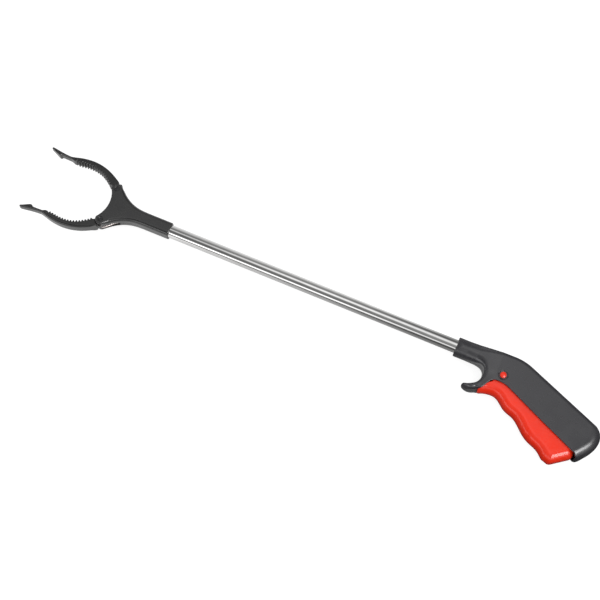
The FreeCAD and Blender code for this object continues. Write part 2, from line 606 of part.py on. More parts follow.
def jaw():
    """The +Y jaw."""
    # The root is a concave seat concentric with the prong.
    seat_r = PRONG_R + 0.35
    outer_angle = math.atan2(JAW_OUTER[0][1] - JAW_PIVOT[1], JAW_OUTER[0][0] - JAW_PIVOT[0])
    inner_angle = math.radians(166.0)
    seat = [around_pivot(seat_r, angle)
            for angle in (inner_angle, (outer_angle + inner_angle) / 2, outer_angle)]
    edges = [arc(*seat)] + lines(seat[-1], JAW_OUTER[0])
    edges += [spline(JAW_OUTER), spline(TIP_OUTER)]
    edges += lines(*TIP_INNER, *reversed(tooth_points()), seat[0])
    body = prism(edges, -JAW_HALF, JAW_HALF)
    body = fillet(body, 1.5, lambda edge, mid: on_faces(edge, JAW_HALF)
                  and mid.x < -217.0 and mid.y > 33.0 and edge.Length > 15.0)
    # The blade gets thinner towards the tip; the wedge is drawn in x and z.
    for side in (1, -1):
        wedge = polygon_prism([(-305.0, JAW_TIP_HALF - 0.1), (-240.0, JAW_HALF),
                               (-240.0, 12.0), (-305.0, 12.0)], 0, 60)
        wedge.rotate(ORIGIN, X_AXIS, 90)
        wedge.translate(Vector(0, 60, 0))
        body = body.cut(wedge if side > 0 else mirror_z(wedge))
    # Tongue in the fork, with the link lug on its outer side
    x, y = JAW_PIVOT
    disc = cylinder_z(PRONG_R - 0.25, JAW_PIVOT, TONGUE_BOTTOM, TONGUE_TOP)
    lug = capsule(JAW_PIVOT, LUG, 1.95, TONGUE_BOTTOM, TONGUE_TOP)
    neck = polygon_prism([(x - 1.0, y - 2.6), (x + 0.5, y + 4.4), (-217.6, 26.0),
                          (-222.6, 26.0), (-223.4, 21.2)], TONGUE_BOTTOM, TONGUE_TOP)
    body = body.fuse([disc, lug, neck]).removeSplitter()
    body = body.cut(through_hole(JAW_PIN_R + 0.05, JAW_PIVOT))
    return largest(body.cut(through_hole(LINK_R + 0.22, LUG)))


def jaw_pin(side):
    centre = on_side([JAW_PIVOT], side)[0]
    pin = cylinder_z(JAW_PIN_R - 0.01, centre, -YOKE_HALF + 1.0, YOKE_HALF - 1.0)
    return fillet(pin, 0.3, lambda edge, mid: True)


# -------------------------------------------------------------------- export
def export(name, shape):
    solids = shape.Solids
    piece = solids[0] if len(solids) == 1 else Part.makeCompound(solids)
    piece = piece.copy()
    piece.translate(Vector(*SHIFT))
    piece.exportStep("parts/" + name + ".step")


shell_left, shell_right = handle_shells()
yoke_front, yoke_rear = yoke_halves()
jaw_upper = jaw()
PARTS = {
    "handle_shell_left": shell_left,
    "handle_shell_right": shell_right,
    "trigger_pin": trigger_pin(),
    "pin_push_nut": pin_push_nut(),
    "handle_screws": screws(HANDLE_SCREWS, -HANDLE_HALF + 0.4, 7.4),
    "trigger": trigger(),
    "drive_pin": cylinder_z(DRIVE_R, DRIVE_PIN, -8.5, 8.5),
    "shaft_tube": shaft_tube(),
    "push_rod": push_rod(),
    "rear_rod_bush": flange_bush(169.0, TUBE_X1, REAR_BUSH_END),
    "front_rod_bush": flange_bush(-159.8, TUBE_X0, -167.6),
    "rod_end": rod_end(),
    "rod_end_set_screw": rod_end_set_screw(),
    "return_spring": return_spring(),
    "crosshead": crosshead(),
    "link_upper": link(1),
    "link_lower": link(-1),
    "yoke_front_half": yoke_front,
    "yoke_rear_half": yoke_rear,
    "yoke_screws": screws(YOKE_SCREWS, -YOKE_HALF + 0.3, 4.9),
    "jaw_upper": jaw_upper,
    "jaw_lower": largest(jaw_upper.mirror(ORIGIN, Y_AXIS)),
    "jaw_pin_upper": jaw_pin(1),
    "jaw_pin_lower": jaw_pin(-1),
}

os.makedirs("parts", exist_ok=True)
for part_name, part_shape in PARTS.items():
    export(part_name, part_shape)
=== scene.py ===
"""Looks of a reacher grabber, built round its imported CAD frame.

The moulded pieces (handle shells, trigger, head halves, jaws) are meshed from
distance fields, negative inside, so every edge has its rounding and two-part
mouldings meet in a parting groove.  Sizes are millimetres about the shaft axis:
x runs along the shaft from the jaws (-x) to the handle (+x), y towards the back
of the handle (the trigger is at -y), and z is normal to the plane of motion.
row() carries them to the row frame, in metres, by the place of the shaft tube.
"""
import bmesh
import bpy
import math
import numpy as np
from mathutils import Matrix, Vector


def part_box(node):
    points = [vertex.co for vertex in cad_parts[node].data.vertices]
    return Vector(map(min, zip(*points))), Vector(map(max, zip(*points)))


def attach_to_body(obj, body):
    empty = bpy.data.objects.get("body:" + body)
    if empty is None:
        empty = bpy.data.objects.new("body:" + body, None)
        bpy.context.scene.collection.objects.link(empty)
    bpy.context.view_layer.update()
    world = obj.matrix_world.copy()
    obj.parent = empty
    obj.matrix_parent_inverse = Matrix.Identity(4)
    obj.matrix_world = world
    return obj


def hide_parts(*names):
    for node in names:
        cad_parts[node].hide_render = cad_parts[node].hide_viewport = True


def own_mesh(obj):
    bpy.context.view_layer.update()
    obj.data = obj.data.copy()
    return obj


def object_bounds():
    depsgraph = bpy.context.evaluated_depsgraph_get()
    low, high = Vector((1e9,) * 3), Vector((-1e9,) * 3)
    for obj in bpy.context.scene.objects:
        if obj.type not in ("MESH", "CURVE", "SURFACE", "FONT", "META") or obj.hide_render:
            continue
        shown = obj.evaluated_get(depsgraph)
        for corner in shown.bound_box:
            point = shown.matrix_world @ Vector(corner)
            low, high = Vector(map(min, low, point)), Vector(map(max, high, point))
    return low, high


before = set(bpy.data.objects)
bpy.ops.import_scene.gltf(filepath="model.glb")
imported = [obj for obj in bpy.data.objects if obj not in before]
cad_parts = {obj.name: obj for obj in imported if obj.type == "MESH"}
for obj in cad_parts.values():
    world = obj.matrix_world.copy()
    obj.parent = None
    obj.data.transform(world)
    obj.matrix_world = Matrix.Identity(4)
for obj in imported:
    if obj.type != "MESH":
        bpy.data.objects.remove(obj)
CAD_LO, CAD_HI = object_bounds()

# ------------------------------------------------------------------ dimensions
TUBE_R, TUBE_BORE_R = 6.5, 5.5
TUBE_X0, TUBE_X1 = -166.0, 176.0          # jaw end, handle end
TUBE_FIT_R = TUBE_R + 0.08                # socket for the tube in a moulding
NIB_R, NIB_Z = 1.45, 5.75                 # nibs that reach in from the socket wall
SCREW_R, SCREW_HEAD_R = 1.45, 2.8
SCREW_CLEAR_R = SCREW_R + 0.15

HANDLE_HALF, HANDLE_CAVITY_HALF = 12.0, 9.8
HANDLE_EDGE = 4.6
HOOK_HALF, HOOK_EDGE = 9.6, 4.2
COLLAR_R, COLLAR_X0 = 9.6, 156.0
HANDLE_SCREWS = [(193.4, -15.6), (226.5, 1.8), (261.5, -12.6), (302.0, -31.8)]
HANDLE_NIB = (166.0, 0.0)

PIVOT, PIVOT_R = (206.5, -13.1), 2.5      # trigger pin
TRIGGER_HALF, TRIGGER_ARM = 9.3, 9.9
DRIVE_R = 1.5                             # drive pin in the trigger arms

HEAD_HALF, HEAD_COLLAR_R = 7.25, 7.3
HEAD_X1, MOUTH_X = -147.0, -215.1         # collar end, bottom of the mouth
SLOT_HALF = 4.45
PRONG_R = 5.5
HEAD_SCREWS = [(-187.0, 0.0), (-205.0, 0.0)]
HEAD_NIB = (-157.0, 0.0)

JAW_PIVOT, JAW_PIN_R = (-215.2, 18.2), 1.8    # upper jaw; the lower one is mirrored in y
JAW_HALF, JAW_TIP_HALF = 5.75, 4.2
JAW_CLOSE = 23.0                          # degrees
LUG_R, LINK_R = 5.2, 0.9
TONGUE_Z = (-1.3, 4.3)

# ----------------------------------------------------------------- frame place
tube_lo, tube_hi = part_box("shaft_tube")
SHIFT = np.array([tube_lo.x * 1000.0 - TUBE_X0,
                  (tube_lo.y + tube_hi.y) * 500.0, (tube_lo.z + tube_hi.z) * 500.0])


def row(points):
    """Millimetres about the shaft axis to metres in the row frame."""
    return (np.asarray(points, float) + SHIFT) / 1000.0


# -------------------------------------------------------------- plane outlines
def spline(points, per_span=8):
    """Natural cubic spline through the points, sampled."""
    points = np.asarray(points, float)
    count = len(points)
    span = np.hypot(*np.diff(points, axis=0).T)
    matrix, right = np.zeros((count, count)), np.zeros((count, 2))
    matrix[0, 0] = matrix[-1, -1] = 1.0
    for i in range(1, count - 1):
        before, after = span[i - 1], span[i]
        matrix[i, i - 1:i + 2] = before, 2 * (before + after), after
        right[i] = 6 * ((points[i + 1] - points[i]) / after - (points[i] - points[i - 1]) / before)
    bend = np.linalg.solve(matrix, right)
    samples = []
    for i in range(count - 1):
        length = span[i]
        t = np.linspace(0, length, per_span, endpoint=False)[:, None]
        cubic, square = (bend[i + 1] - bend[i]) / (6 * length), bend[i] / 2
        linear = (points[i + 1] - points[i]) / length - length * (2 * bend[i] + bend[i + 1]) / 6
        samples.append(points[i] + linear * t + square * t ** 2 + cubic * t ** 3)
    return np.vstack(samples + [points[-1:]])


def arc(centre, radius, start, sweep, steps):
    """Points of an arc; angles in radians."""
    angle = start + sweep * np.arange(steps + 1) / steps
    return np.stack([centre[0] + radius * np.cos(angle), centre[1] + radius * np.sin(angle)], 1)


def round_corner(before, corner, after, radius, steps):
    """Points of the arc that rounds a corner."""
    before, corner, after = (np.asarray(p, float) for p in (before, corner, after))
    back = (before - corner) / np.linalg.norm(before - corner)
    ahead = (after - corner) / np.linalg.norm(after - corner)
    half = math.acos(float(np.clip(back @ ahead, -1, 1))) / 2
    middle = (back + ahead) / np.linalg.norm(back + ahead)
    centre = corner + middle * (radius / math.sin(half))
    first = corner + back * (radius / math.tan(half)) - centre
    last = corner + ahead * (radius / math.tan(half)) - centre
    start = math.atan2(first[1], first[0])
    sweep = math.atan2(last[1], last[0]) - start
    sweep = (sweep + math.pi) % (2 * math.pi) - math.pi
    return arc(centre, radius, start, sweep, steps)


def arc_through(first, middle, last, steps=24):
    """Arc from first through middle to last."""
    (ax, ay), (bx, by), (cx, cy) = first, middle, last
    a2, b2, c2 = ax**2 + ay**2, bx**2 + by**2, cx**2 + cy**2
    area2 = 2 * (ax * (by - cy) + bx * (cy - ay) + cx * (ay - by))
    x = (a2 * (by - cy) + b2 * (cy - ay) + c2 * (ay - by)) / area2
    y = (a2 * (cx - bx) + b2 * (ax - cx) + c2 * (bx - ax)) / area2
    start, mid, end = (math.atan2(p[1] - y, p[0] - x) for p in (first, middle, last))
    sweep = (end - start) % (2 * math.pi)
    if (mid - start) % (2 * math.pi) > sweep:
        sweep -= 2 * math.pi
    return arc((x, y), math.hypot(ax - x, ay - y), start, sweep, steps)


class GridField:
    """A plane field kept on a fine grid and read back by straight-line interpolation."""

    def __init__(self, xs, ys, values):
        self.x0, self.y0, self.step, self.values = xs[0], ys[0], xs[1] - xs[0], values

    def __call__(self, x, y):
        values = self.values
        columns, rows = values.shape
        u = np.clip((x - self.x0) / self.step, 0, columns - 1.001)
        v = np.clip((y - self.y0) / self.step, 0, rows - 1.001)
        i, j = u.astype(np.int32), v.astype(np.int32)
        du, dv = u - i, v - j
        below = values[i, j] * (1 - du) + values[i + 1, j] * du
        above = values[i, j + 1] * (1 - du) + values[i + 1, j + 1] * du
        return below * (1 - dv) + above * dv


def distance_to(points, box, step=0.3, closed=True):
    """Distance to a polygon (negative inside) or, if open, to a polyline, within the box."""
    points = np.asarray(points, float)
    low, high = np.array(box, float)
    xs, ys = np.arange(low[0], high[0] + step, step), np.arange(low[1], high[1] + step, step)
    x, y = np.meshgrid(xs.astype(np.float32), ys.astype(np.float32), indexing="ij")
    nearest = np.full(x.shape, 1e9, np.float32)
    inside = np.zeros(x.shape, bool)
    ring = np.vstack([points, points[:1]]) if closed else points
    for a, b in zip(ring[:-1], ring[1:]):
        along_x, along_y = b - a
        length2 = along_x * along_x + along_y * along_y
        if length2 < 1e-10:
            continue
        from_x, from_y = x - np.float32(a[0]), y - np.float32(a[1])
        t = np.clip((from_x * along_x + from_y * along_y) / length2, 0, 1)
        off_x, off_y = from_x - t * along_x, from_y - t * along_y
        np.minimum(nearest, off_x * off_x + off_y * off_y, out=nearest)
        if closed and a[1] != b[1]:
            crossing = (b[0] - a[0]) * (y - a[1]) / (b[1] - a[1]) + a[0]
            inside ^= ((a[1] > y) != (b[1] > y)) & (x < crossing)
    distance = np.sqrt(nearest)
    return GridField(xs, ys, np.where(inside, -distance, distance) if closed else distance)


# --------------------------------------------------------------- field algebra
overlap, union = np.maximum, np.minimum   # with sharp edges


def fade(value, start, span):
    """Eases from 0 at start to 1 at start + span."""
    t = np.clip((value - start) / span, 0.0, 1.0)
    return t * t * (3 - 2 * t)


def between(a, b, t):
    return a + (b - a) * t


def plate(outline, z, half, edge):
    """Plate of the given half thickness with its outline edges rounded."""
    across, up = outline + edge, np.abs(z) - half + edge
    return (np.minimum(np.maximum(across, up), 0)
            + np.hypot(np.maximum(across, 0), np.maximum(up, 0)) - edge)


def band(outline, z, z0, z1, edge):
    """Plate from z0 to z1."""
    return plate(outline, z - (z0 + z1) / 2, (z1 - z0) / 2, edge)


def cut(body, tool, edge):
    """Body without tool, with the new edge rounded."""
    tool = -tool
    return (np.minimum(-edge, np.maximum(body, tool))
            + np.hypot(np.maximum(edge + body, 0), np.maximum(edge + tool, 0)))


def meet(a, b, edge):
    """What a and b share, with the new edge rounded."""
    return cut(a, -b, edge)


def join(a, b, fillet):
    """a and b together, with the inner corner filled."""
    return (np.maximum(fillet, np.minimum(a, b))
            - np.hypot(np.maximum(fillet - a, 0), np.maximum(fillet - b, 0)))


def rod(x, y, centre, radius):
    """Endless rod along z."""
    return np.hypot(x - centre[0], y - centre[1]) - radius


def pill(x, y, a, b, radius):
    along_x, along_y = b[0] - a[0], b[1] - a[1]
    t = ((x - a[0]) * along_x + (y - a[1]) * along_y) / (along_x * along_x + along_y * along_y)
    t = np.clip(t, 0, 1)
    return np.hypot(x - a[0] - t * along_x, y - a[1] - t * along_y) - radius


def slab(value, a, b):
    return np.abs(value - (a + b) / 2) - (b - a) / 2


def half_moulding(whole, x, y, outward, nib, nib_top, groove):
    """The half on the side where outward is positive, with its nib for the tube."""
    half = meet(whole, -outward, groove)
    return union(half, overlap(rod(x, y, nib, NIB_R), slab(outward, NIB_Z, nib_top)))


def blind_holes(body, x, y, z, centres, top, edge):
    """Screw holes that stop at z = top."""
    for centre in centres:
        body = cut(body, overlap(rod(x, y, centre, SCREW_R), z - top), edge)
    return body


def head_holes(body, x, y, z, centres, half, head_gap, head_depth, edge):
    """Through screw holes with a sunk seat for the head at the -z face."""
    for centre in centres:
        body = cut(body, rod(x, y, centre, SCREW_CLEAR_R), edge)
        seat = overlap(rod(x, y, centre, SCREW_HEAD_R + head_gap), z + half - head_depth)
        body = cut(body, seat, 0.25)
    return body


# ---------------------------------------------------------------- mesh making
def surface_net(field, low, high, cell):
    """Quads of the zero surface of the field, one vertex in each cell it crosses."""
    axes = [np.arange(a, b + cell, cell, dtype=np.float32) for a, b in zip(low, high)]
    values = np.empty([len(axis) for axis in axes], np.float32)
    y, z = axes[1][None, :, None], axes[2][None, None, :]
    for start in range(0, len(axes[0]), 48):             # in slices, to keep memory low
        part = slice(start, start + 48)
        values[part] = field(axes[0][part][:, None, None], y, z)
    inside = values < 0
    nx, ny, nz = (size - 1 for size in inside.shape)
    corners = sum(inside[i:i + nx, j:j + ny, k:k + nz].astype(np.int8)
                  for i in (0, 1) for j in (0, 1) for k in (0, 1))
    active = (corners > 0) & (corners < 8)
    index = np.full(active.shape, -1, np.int64)
    cells = np.argwhere(active)
    index[active] = np.arange(len(cells))

    # each vertex is the mean of the crossings on the edges of its cell
    unit_step = np.eye(3, dtype=int)
    total, count = np.zeros((len(cells), 3)), np.zeros(len(cells))
    for axis in range(3):
        side1, side2 = [a for a in range(3) if a != axis]
        for i in (0, 1):
            for j in (0, 1):
                start = i * unit_step[side1] + j * unit_step[side2]
                end = start + unit_step[axis]
                at_start, at_end = values[tuple((cells + start).T)], values[tuple((cells + end).T)]
                crossed = (at_start < 0) != (at_end < 0)
                drop = np.where(crossed, at_start - at_end, 1)
                t = np.where(crossed, at_start / drop, 0)
                total += crossed[:, None] * (start + t[:, None] * (end - start))
                count += crossed
    points = (cells + total / count[:, None]) * cell + np.array([axis[0] for axis in axes])

    quads = []
    for axis in range(3):
        side1, side2 = unit_step[(axis + 1) % 3], unit_step[(axis + 2) % 3]
        here, beyond = [slice(1, -1)] * 3, [slice(1, -1)] * 3
        here[axis], beyond[axis] = slice(0, -1), slice(1, None)
        a, b = inside[tuple(here)], inside[tuple(beyond)]
        for flip, mask in ((False, a & ~b), (True, ~a & b)):
            last = np.argwhere(mask) + 1 - unit_step[axis]
            ring = [last - side1 - side2, last - side2, last, last - side1]
            quad = np.stack([index[tuple(place.T)] for place in ring], 1)
            quads.append(quad[:, ::-1] if flip else quad)
    return points, np.vstack(quads)


def drop_islands(points, quads, fewest=400):
    """Leaves out loose crumbs with fewer vertices than the limit."""
    label = np.arange(len(points))
    while True:
        lowest = np.minimum.reduce([label[quads[:, i]] for i in range(4)])
        new = label.copy()
        for i in range(4):
            np.minimum.at(new, quads[:, i], lowest)
        new = new[new]
        if (new == label).all():
            break
        label = new
    keep = np.bincount(label, minlength=len(points))[label] >= fewest
    index = np.cumsum(keep) - 1
    return points[keep], index[quads[keep[quads].all(1)]]


def unit(vectors):
    return vectors / np.maximum(np.linalg.norm(vectors, axis=1), 1e-6)[:, None]


def gradient(field, points, reach=0.04):
    return np.stack([field(*(points + step).T) - field(*(points - step).T)
                     for step in np.eye(3) * reach], 1) / (2 * reach)


def settle(field, points, quads, cell):
    """Evens the mesh out, pulls it back onto the surface and returns it with its normals."""
    edges = np.vstack([quads[:, [i, (i + 1) % 4]] for i in range(4)])
    edges = np.vstack([edges, edges[:, ::-1]])
    start, end = edges.T
    neighbours = np.maximum(np.bincount(start, minlength=len(points)), 1)[:, None]
    for _ in range(2):
        normals = unit(gradient(field, points))
        total = np.stack([np.bincount(start, points[end, axis], len(points))
                          for axis in range(3)], 1)
        move = total / neighbours - points
        move -= (move * normals).sum(1)[:, None] * normals
        points = points + 0.5 * move
        for _ in range(2):
            value = field(*points.T)
            slope = gradient(field, points)
            steep2 = np.maximum((slope * slope).sum(1), 0.25)
            points = points - np.clip(value / steep2, -0.4 * cell, 0.4 * cell)[:, None] * slope
    return points, unit(gradient(field, points, reach=0.22))


def edge_wear(field, points, normals, reach=0.7, gain=2.2):
    """0 to 1: how far the surface falls away sideways, so that convex edges catch wear."""
    side = unit(np.cross(normals, np.array([0.31, 0.77, 0.55])))
    other = np.cross(normals, side)
    fall = np.zeros(len(points))
    for way in (side, -side, other, -other):
        fall = fall + field(*(points + way * reach).T) / (4 * reach)
    return np.clip(fall * gain, 0, 1)


def make_mesh(name, points, faces, normals=None, edge=None):
    """Smooth object from points in mm; faces are an array of quads or a list of any faces."""
    mesh = bpy.data.meshes.new(name)
    places = row(points)
    if isinstance(faces, np.ndarray):
        count, sides = faces.shape
        mesh.vertices.add(len(places))
        mesh.vertices.foreach_set("co", places.astype(np.float32).ravel())
        mesh.loops.add(count * sides)
        mesh.loops.foreach_set("vertex_index", faces.astype(np.int32).ravel())
        mesh.polygons.add(count)
        mesh.polygons.foreach_set("loop_start", np.arange(0, count * sides, sides, dtype=np.int32))
        mesh.polygons.foreach_set("loop_total", np.full(count, sides, np.int32))
        mesh.update(calc_edges=True)
    else:
        mesh.from_pydata([tuple(p) for p in places], [], faces)
    mesh.validate()
    mesh.polygons.foreach_set("use_smooth", np.ones(len(mesh.polygons), bool))
    if edge is not None:
        layer = mesh.attributes.new("edge", "FLOAT", "POINT")
        layer.data.foreach_set("value", edge.astype(np.float32))
    if normals is not None:
        mesh.normals_split_custom_set_from_vertices([tuple(n) for n in normals])
    obj = bpy.data.objects.new(name, mesh)
    bpy.context.scene.collection.objects.link(obj)
    return obj


def attach(obj, body, node, material):
    """Gives the piece its material and its place in the CAD frame."""
    obj.data.materials.append(material)
    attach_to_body(obj, body)
    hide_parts(node)


def crease(obj, degrees):
    split = obj.modifiers.new("crease", "EDGE_SPLIT")
    split.split_angle = math.radians(degrees)


def mould(name, field, low, high, cell, body, node, material):
    """Meshes a moulded piece from its field between the corners low and high."""
    points, quads = surface_net(field, low, high, cell)
    points, quads = drop_islands(points, quads)
    points, normals = settle(field, points, quads, cell)
    obj = make_mesh(name, points, quads, normals, edge_wear(field, points, normals))
    attach(obj, body, node, material)


def ring_faces(rings, sides, closed):
    """Quads between rings of vertices; an open run is capped at both ends."""
    faces = []
    for i in range(rings if closed else rings - 1):
        j = (i + 1) % rings
        for k in range(sides):
            after = (k + 1) % sides
            faces.append((i * sides + k, i * sides + after, j * sides + after, j * sides + k))
    if not closed:
        faces.append(tuple(range(sides))[::-1])
        faces.append(tuple((rings - 1) * sides + k for k in range(sides)))
    return faces


def lathe(name, profile, sides, axis, centre, closed):
    """Turns a profile of (along, radius) points round the x or z axis through centre."""
    angle = np.linspace(0, 2 * math.pi, sides, endpoint=False)
    rings = []
    for along, radius in np.asarray(profile, float):
        u, v, level = radius * np.cos(angle), radius * np.sin(angle), np.full(sides, along)
        rings.append(np.stack([level, u, v] if axis == "x" else [u, v, level], 1))
    obj = make_mesh(name, np.vstack(rings) + np.array(centre),
                    ring_faces(len(rings), sides, closed))
    work = bmesh.new()
    work.from_mesh(obj.data)
    bmesh.ops.remove_doubles(work, verts=work.verts, dist=1e-7)
    bmesh.ops.recalc_face_normals(work, faces=work.faces)
    work.to_mesh(obj.data)
    work.free()
    crease(obj, 32.0)
    return obj


# ------------------------------------------------------------------ materials
class Graph:
    """Short ways to make shader nodes; values may be numbers or sockets."""

    def __init__(self, tree):
        self.tree = tree

    def put(self, value, socket):
        if isinstance(value, bpy.types.NodeSocket):
            self.tree.links.new(value, socket)
        else:
            socket.default_value = value

    def node(self, kind, inputs=None, **settings):
        node = self.tree.nodes.new("ShaderNode" + kind)
        for name, value in settings.items():
            setattr(node, name, value)
        for key, value in (inputs or {}).items():
            self.put(value, node.inputs[key])
        return node

    def math(self, operation, *values, clamp=False):
        inputs = dict(enumerate(values))
        return self.node("Math", inputs, operation=operation, use_clamp=clamp).outputs[0]

    def calc(self, operation, a, b=0.0, clamp=False):
        """Math with every unused input at zero."""
        return self.math(operation, a, b, 0.0, clamp=clamp)

    def add(self, a, b):
        return self.calc("ADD", a, b)

    def minus(self, a, b):
        return self.calc("SUBTRACT", a, b)

    def times(self, a, b):
        return self.calc("MULTIPLY", a, b)

    def blend(self, share, a, b):
        """a where share is 0, b where it is 1."""
        return self.add(self.times(a, self.minus(1.0, share)), self.times(b, share))

    def remap(self, value, over=(0.3, 0.7), to=(0.0, 1.0), **settings):
        return self.node("MapRange", {"Value": value, "From Min": over[0], "From Max": over[1],
                                      "To Min": to[0], "To Max": to[1]}, **settings).outputs[0]

    def fade(self, value, over, to=(0.0, 1.0)):
        return self.remap(value, over, to, interpolation_type="SMOOTHSTEP")

    def curve(self, value, stops):
        """Smooth curve through (position, value) stops."""
        node = self.node("FloatCurve", {"Value": value})
        node.mapping.use_clip = False
        points = node.mapping.curves[0].points
        while len(points) < len(stops):
            points.new(0.5, 0.5)
        for point, stop in zip(points, sorted(stops)):
            point.location = stop
            point.handle_type = "AUTO_CLAMPED"
        node.mapping.update()
        return node.outputs[0]


def opaque(color):
    return color if isinstance(color, bpy.types.NodeSocket) else (*color, 1.0)


class Material(Graph):
    """A material with its texture space in millimetres."""

    def __init__(self, name):
        self.material = bpy.data.materials.new(name)
        self.material.use_nodes = True
        super().__init__(self.material.node_tree)
        place = self.node("TexCoord").outputs["Object"]
        self.mm = self.node("Mapping", {"Vector": place, "Scale": (1000, 1000, 1000)}).outputs[0]

    def stretched(self, x, y, z, rotation=(0.0, 0.0, 0.0)):
        """Texture space scaled along each axis: a small scale draws the pattern out."""
        return self.node("Mapping", {"Vector": self.mm, "Rotation": rotation,
                                     "Scale": (x, y, z)}).outputs[0]

    def noise(self, scale, detail=2.0, roughness=0.5, distortion=0.0, vector=None):
        return self.node("TexNoise", {
            "Vector": self.mm if vector is None else vector, "Scale": scale, "Detail": detail,
            "Roughness": roughness, "Distortion": distortion}).outputs["Fac"]

    def mix(self, share, a, b):
        inputs = {0: share, 6: opaque(a), 7: opaque(b)}      # factor and the two colours
        return self.node("Mix", inputs, data_type="RGBA").outputs[2]

    def tint(self, color, other, where, over=(0.3, 0.7), most=1.0):
        """Color turning to other, by a share up to most, where the pattern is high."""
        return self.mix(self.remap(where, over, to=(0.0, most)), color, other)

    def worn_edges(self, edge_over, patch_scale, patch_over, least):
        """Wear of convex edges, broken up by patches."""
        edge = self.node("Attribute", attribute_name="edge").outputs["Fac"]
        patch = self.noise(scale=patch_scale, detail=4.0, roughness=0.6)
        return self.math("MULTIPLY", self.remap(edge, edge_over),
                         self.remap(patch, patch_over, to=(least, 1.0)), clamp=True)

    def bump(self, height, distance, strength=1.0, normal=None):
        inputs = {"Height": height, "Distance": distance, "Strength": strength}
        if normal is not None:
            inputs["Normal"] = normal
        return self.node("Bump", inputs).outputs["Normal"]

    def surface(self, inputs):
        shader = self.tree.nodes["Principled BSDF"]
        for name, value in inputs.items():
            self.put(value, shader.inputs[name])
        return self.material


def moulded(name, base, light, dark, roughness, specular, grain, wear):
    """Moulded thermoplastic: fine grain, faint flow marks, polished and paler edges."""
    m = Material(name)
    speck_scale = 1.6
    cloud = m.noise(scale=0.028, detail=3.0, roughness=0.55)
    flow = m.noise(scale=0.05, detail=4.0, roughness=0.6, distortion=0.6,
                   vector=m.stretched(0.35, 1.0, 1.0))
    speck = m.noise(scale=speck_scale, roughness=0.6)
    color = m.tint(dark, light, where=cloud)
    color = m.tint(color, base, where=flow, over=(0.45, 0.75), most=0.45)
    color = m.tint(color, light, where=speck, over=(0.35, 0.7), most=0.22)
    worn = m.worn_edges(edge_over=(0.15, 0.75), patch_scale=0.22, patch_over=(0.38, 0.66),
                        least=0.15)
    pale = tuple(min(1.0, v * 1.9 + 0.012) for v in light)
    color = m.mix(m.math("MULTIPLY", worn, wear), color, pale)
    scratch = m.noise(scale=0.55, roughness=0.4, distortion=0.4,
                      vector=m.stretched(0.25, 3.5, 3.5))
    scratch = m.remap(scratch, over=(0.72, 0.78))
    rough = m.remap(m.noise(scale=0.09, detail=3.0), to=(roughness - 0.05, roughness + 0.06))
    rough = m.math("ADD", rough, m.math("MULTIPLY", worn, -0.10))
    rough = m.math("ADD", rough, m.math("MULTIPLY", scratch, 0.05), clamp=True)
    fine = m.noise(scale=speck_scale * 1.4, detail=3.0, roughness=0.65)
    normal = m.bump(fine, distance=grain)
    normal = m.bump(m.noise(scale=0.04), distance=0.00012, strength=0.35, normal=normal)
    return m.surface({"Base Color": color, "Roughness": rough, "Specular IOR Level": specular,
                      "Normal": normal})


def red_plastic(name, roughness, wear):
    """Glossy red with soft mottling and faint streaks."""
    m = Material(name)
    cloud = m.noise(scale=0.045, detail=3.0, roughness=0.6)
    color = m.tint((0.85, 0.026, 0.0055), (0.90, 0.032, 0.0080), where=cloud)
    mottle = m.noise(scale=0.22, detail=4.0, roughness=0.62, distortion=0.8)
    color = m.tint(color, (0.80, 0.022, 0.0050), where=mottle, over=(0.45, 0.75), most=0.35)
    # faint wiping streaks in patches, from use
    slanted = m.stretched(0.10, 1.25, 0.10, rotation=(0.0, 0.0, math.radians(-38.0)))
    streak = m.noise(scale=0.9, detail=3.0, roughness=0.55, vector=slanted)
    patch = m.remap(m.noise(scale=0.05), over=(0.42, 0.62))
    wipe = m.math("MULTIPLY", m.remap(streak, over=(0.52, 0.70)), patch, clamp=True)
    color = m.mix(m.math("MULTIPLY", wipe, 0.45), color, (0.93, 0.075, 0.040))
    worn = m.worn_edges(edge_over=(0.2, 0.8), patch_scale=0.3, patch_over=(0.4, 0.65), least=0.1)
    color = m.mix(m.math("MULTIPLY", worn, wear), color, (0.97, 0.075, 0.035))
    rough = m.remap(m.noise(scale=0.12, detail=3.0), to=(roughness - 0.04, roughness + 0.05))
    rough = m.math("ADD", rough, m.math("MULTIPLY", worn, -0.05))
    normal = m.bump(m.noise(scale=2.6, detail=3.0, roughness=0.6), distance=0.000004)
    normal = m.bump(m.noise(scale=0.07, detail=1.0), distance=0.00012, strength=0.45,
                    normal=normal)
    return m.surface({"Base Color": color, "Roughness": rough, "Specular IOR Level": 0.5,
                      "Normal": normal})


def metal(name, base, tone, roughness, streak, grain, spots=0.0):
    """Metal with streaks (scaled per axis), fine relief and, if asked, darker spots."""
    m = Material(name)
    cloud = m.noise(scale=0.12, detail=3.0, roughness=0.6)
    color = m.tint(base, tone, where=cloud)
    lines = m.noise(scale=1.0, detail=3.0, roughness=0.6, vector=m.stretched(*streak))
    color = m.tint(color, tone, where=lines, over=(0.4, 0.75), most=0.3)
    if spots:
        spot = m.noise(scale=0.9, detail=3.0, roughness=0.7)
        dull = (base[0] * 0.45, base[1] * 0.4, base[2] * 0.36)
        color = m.tint(color, dull, where=spot, over=(0.62, 0.7), most=spots)
    rough = m.remap(m.noise(scale=0.35, detail=3.0),
                    to=(max(roughness - 0.05, 0.03), roughness + 0.07))
    return m.surface({"Base Color": color, "Roughness": rough, "Metallic": 1.0,
                      "Normal": m.bump(lines, distance=grain)})


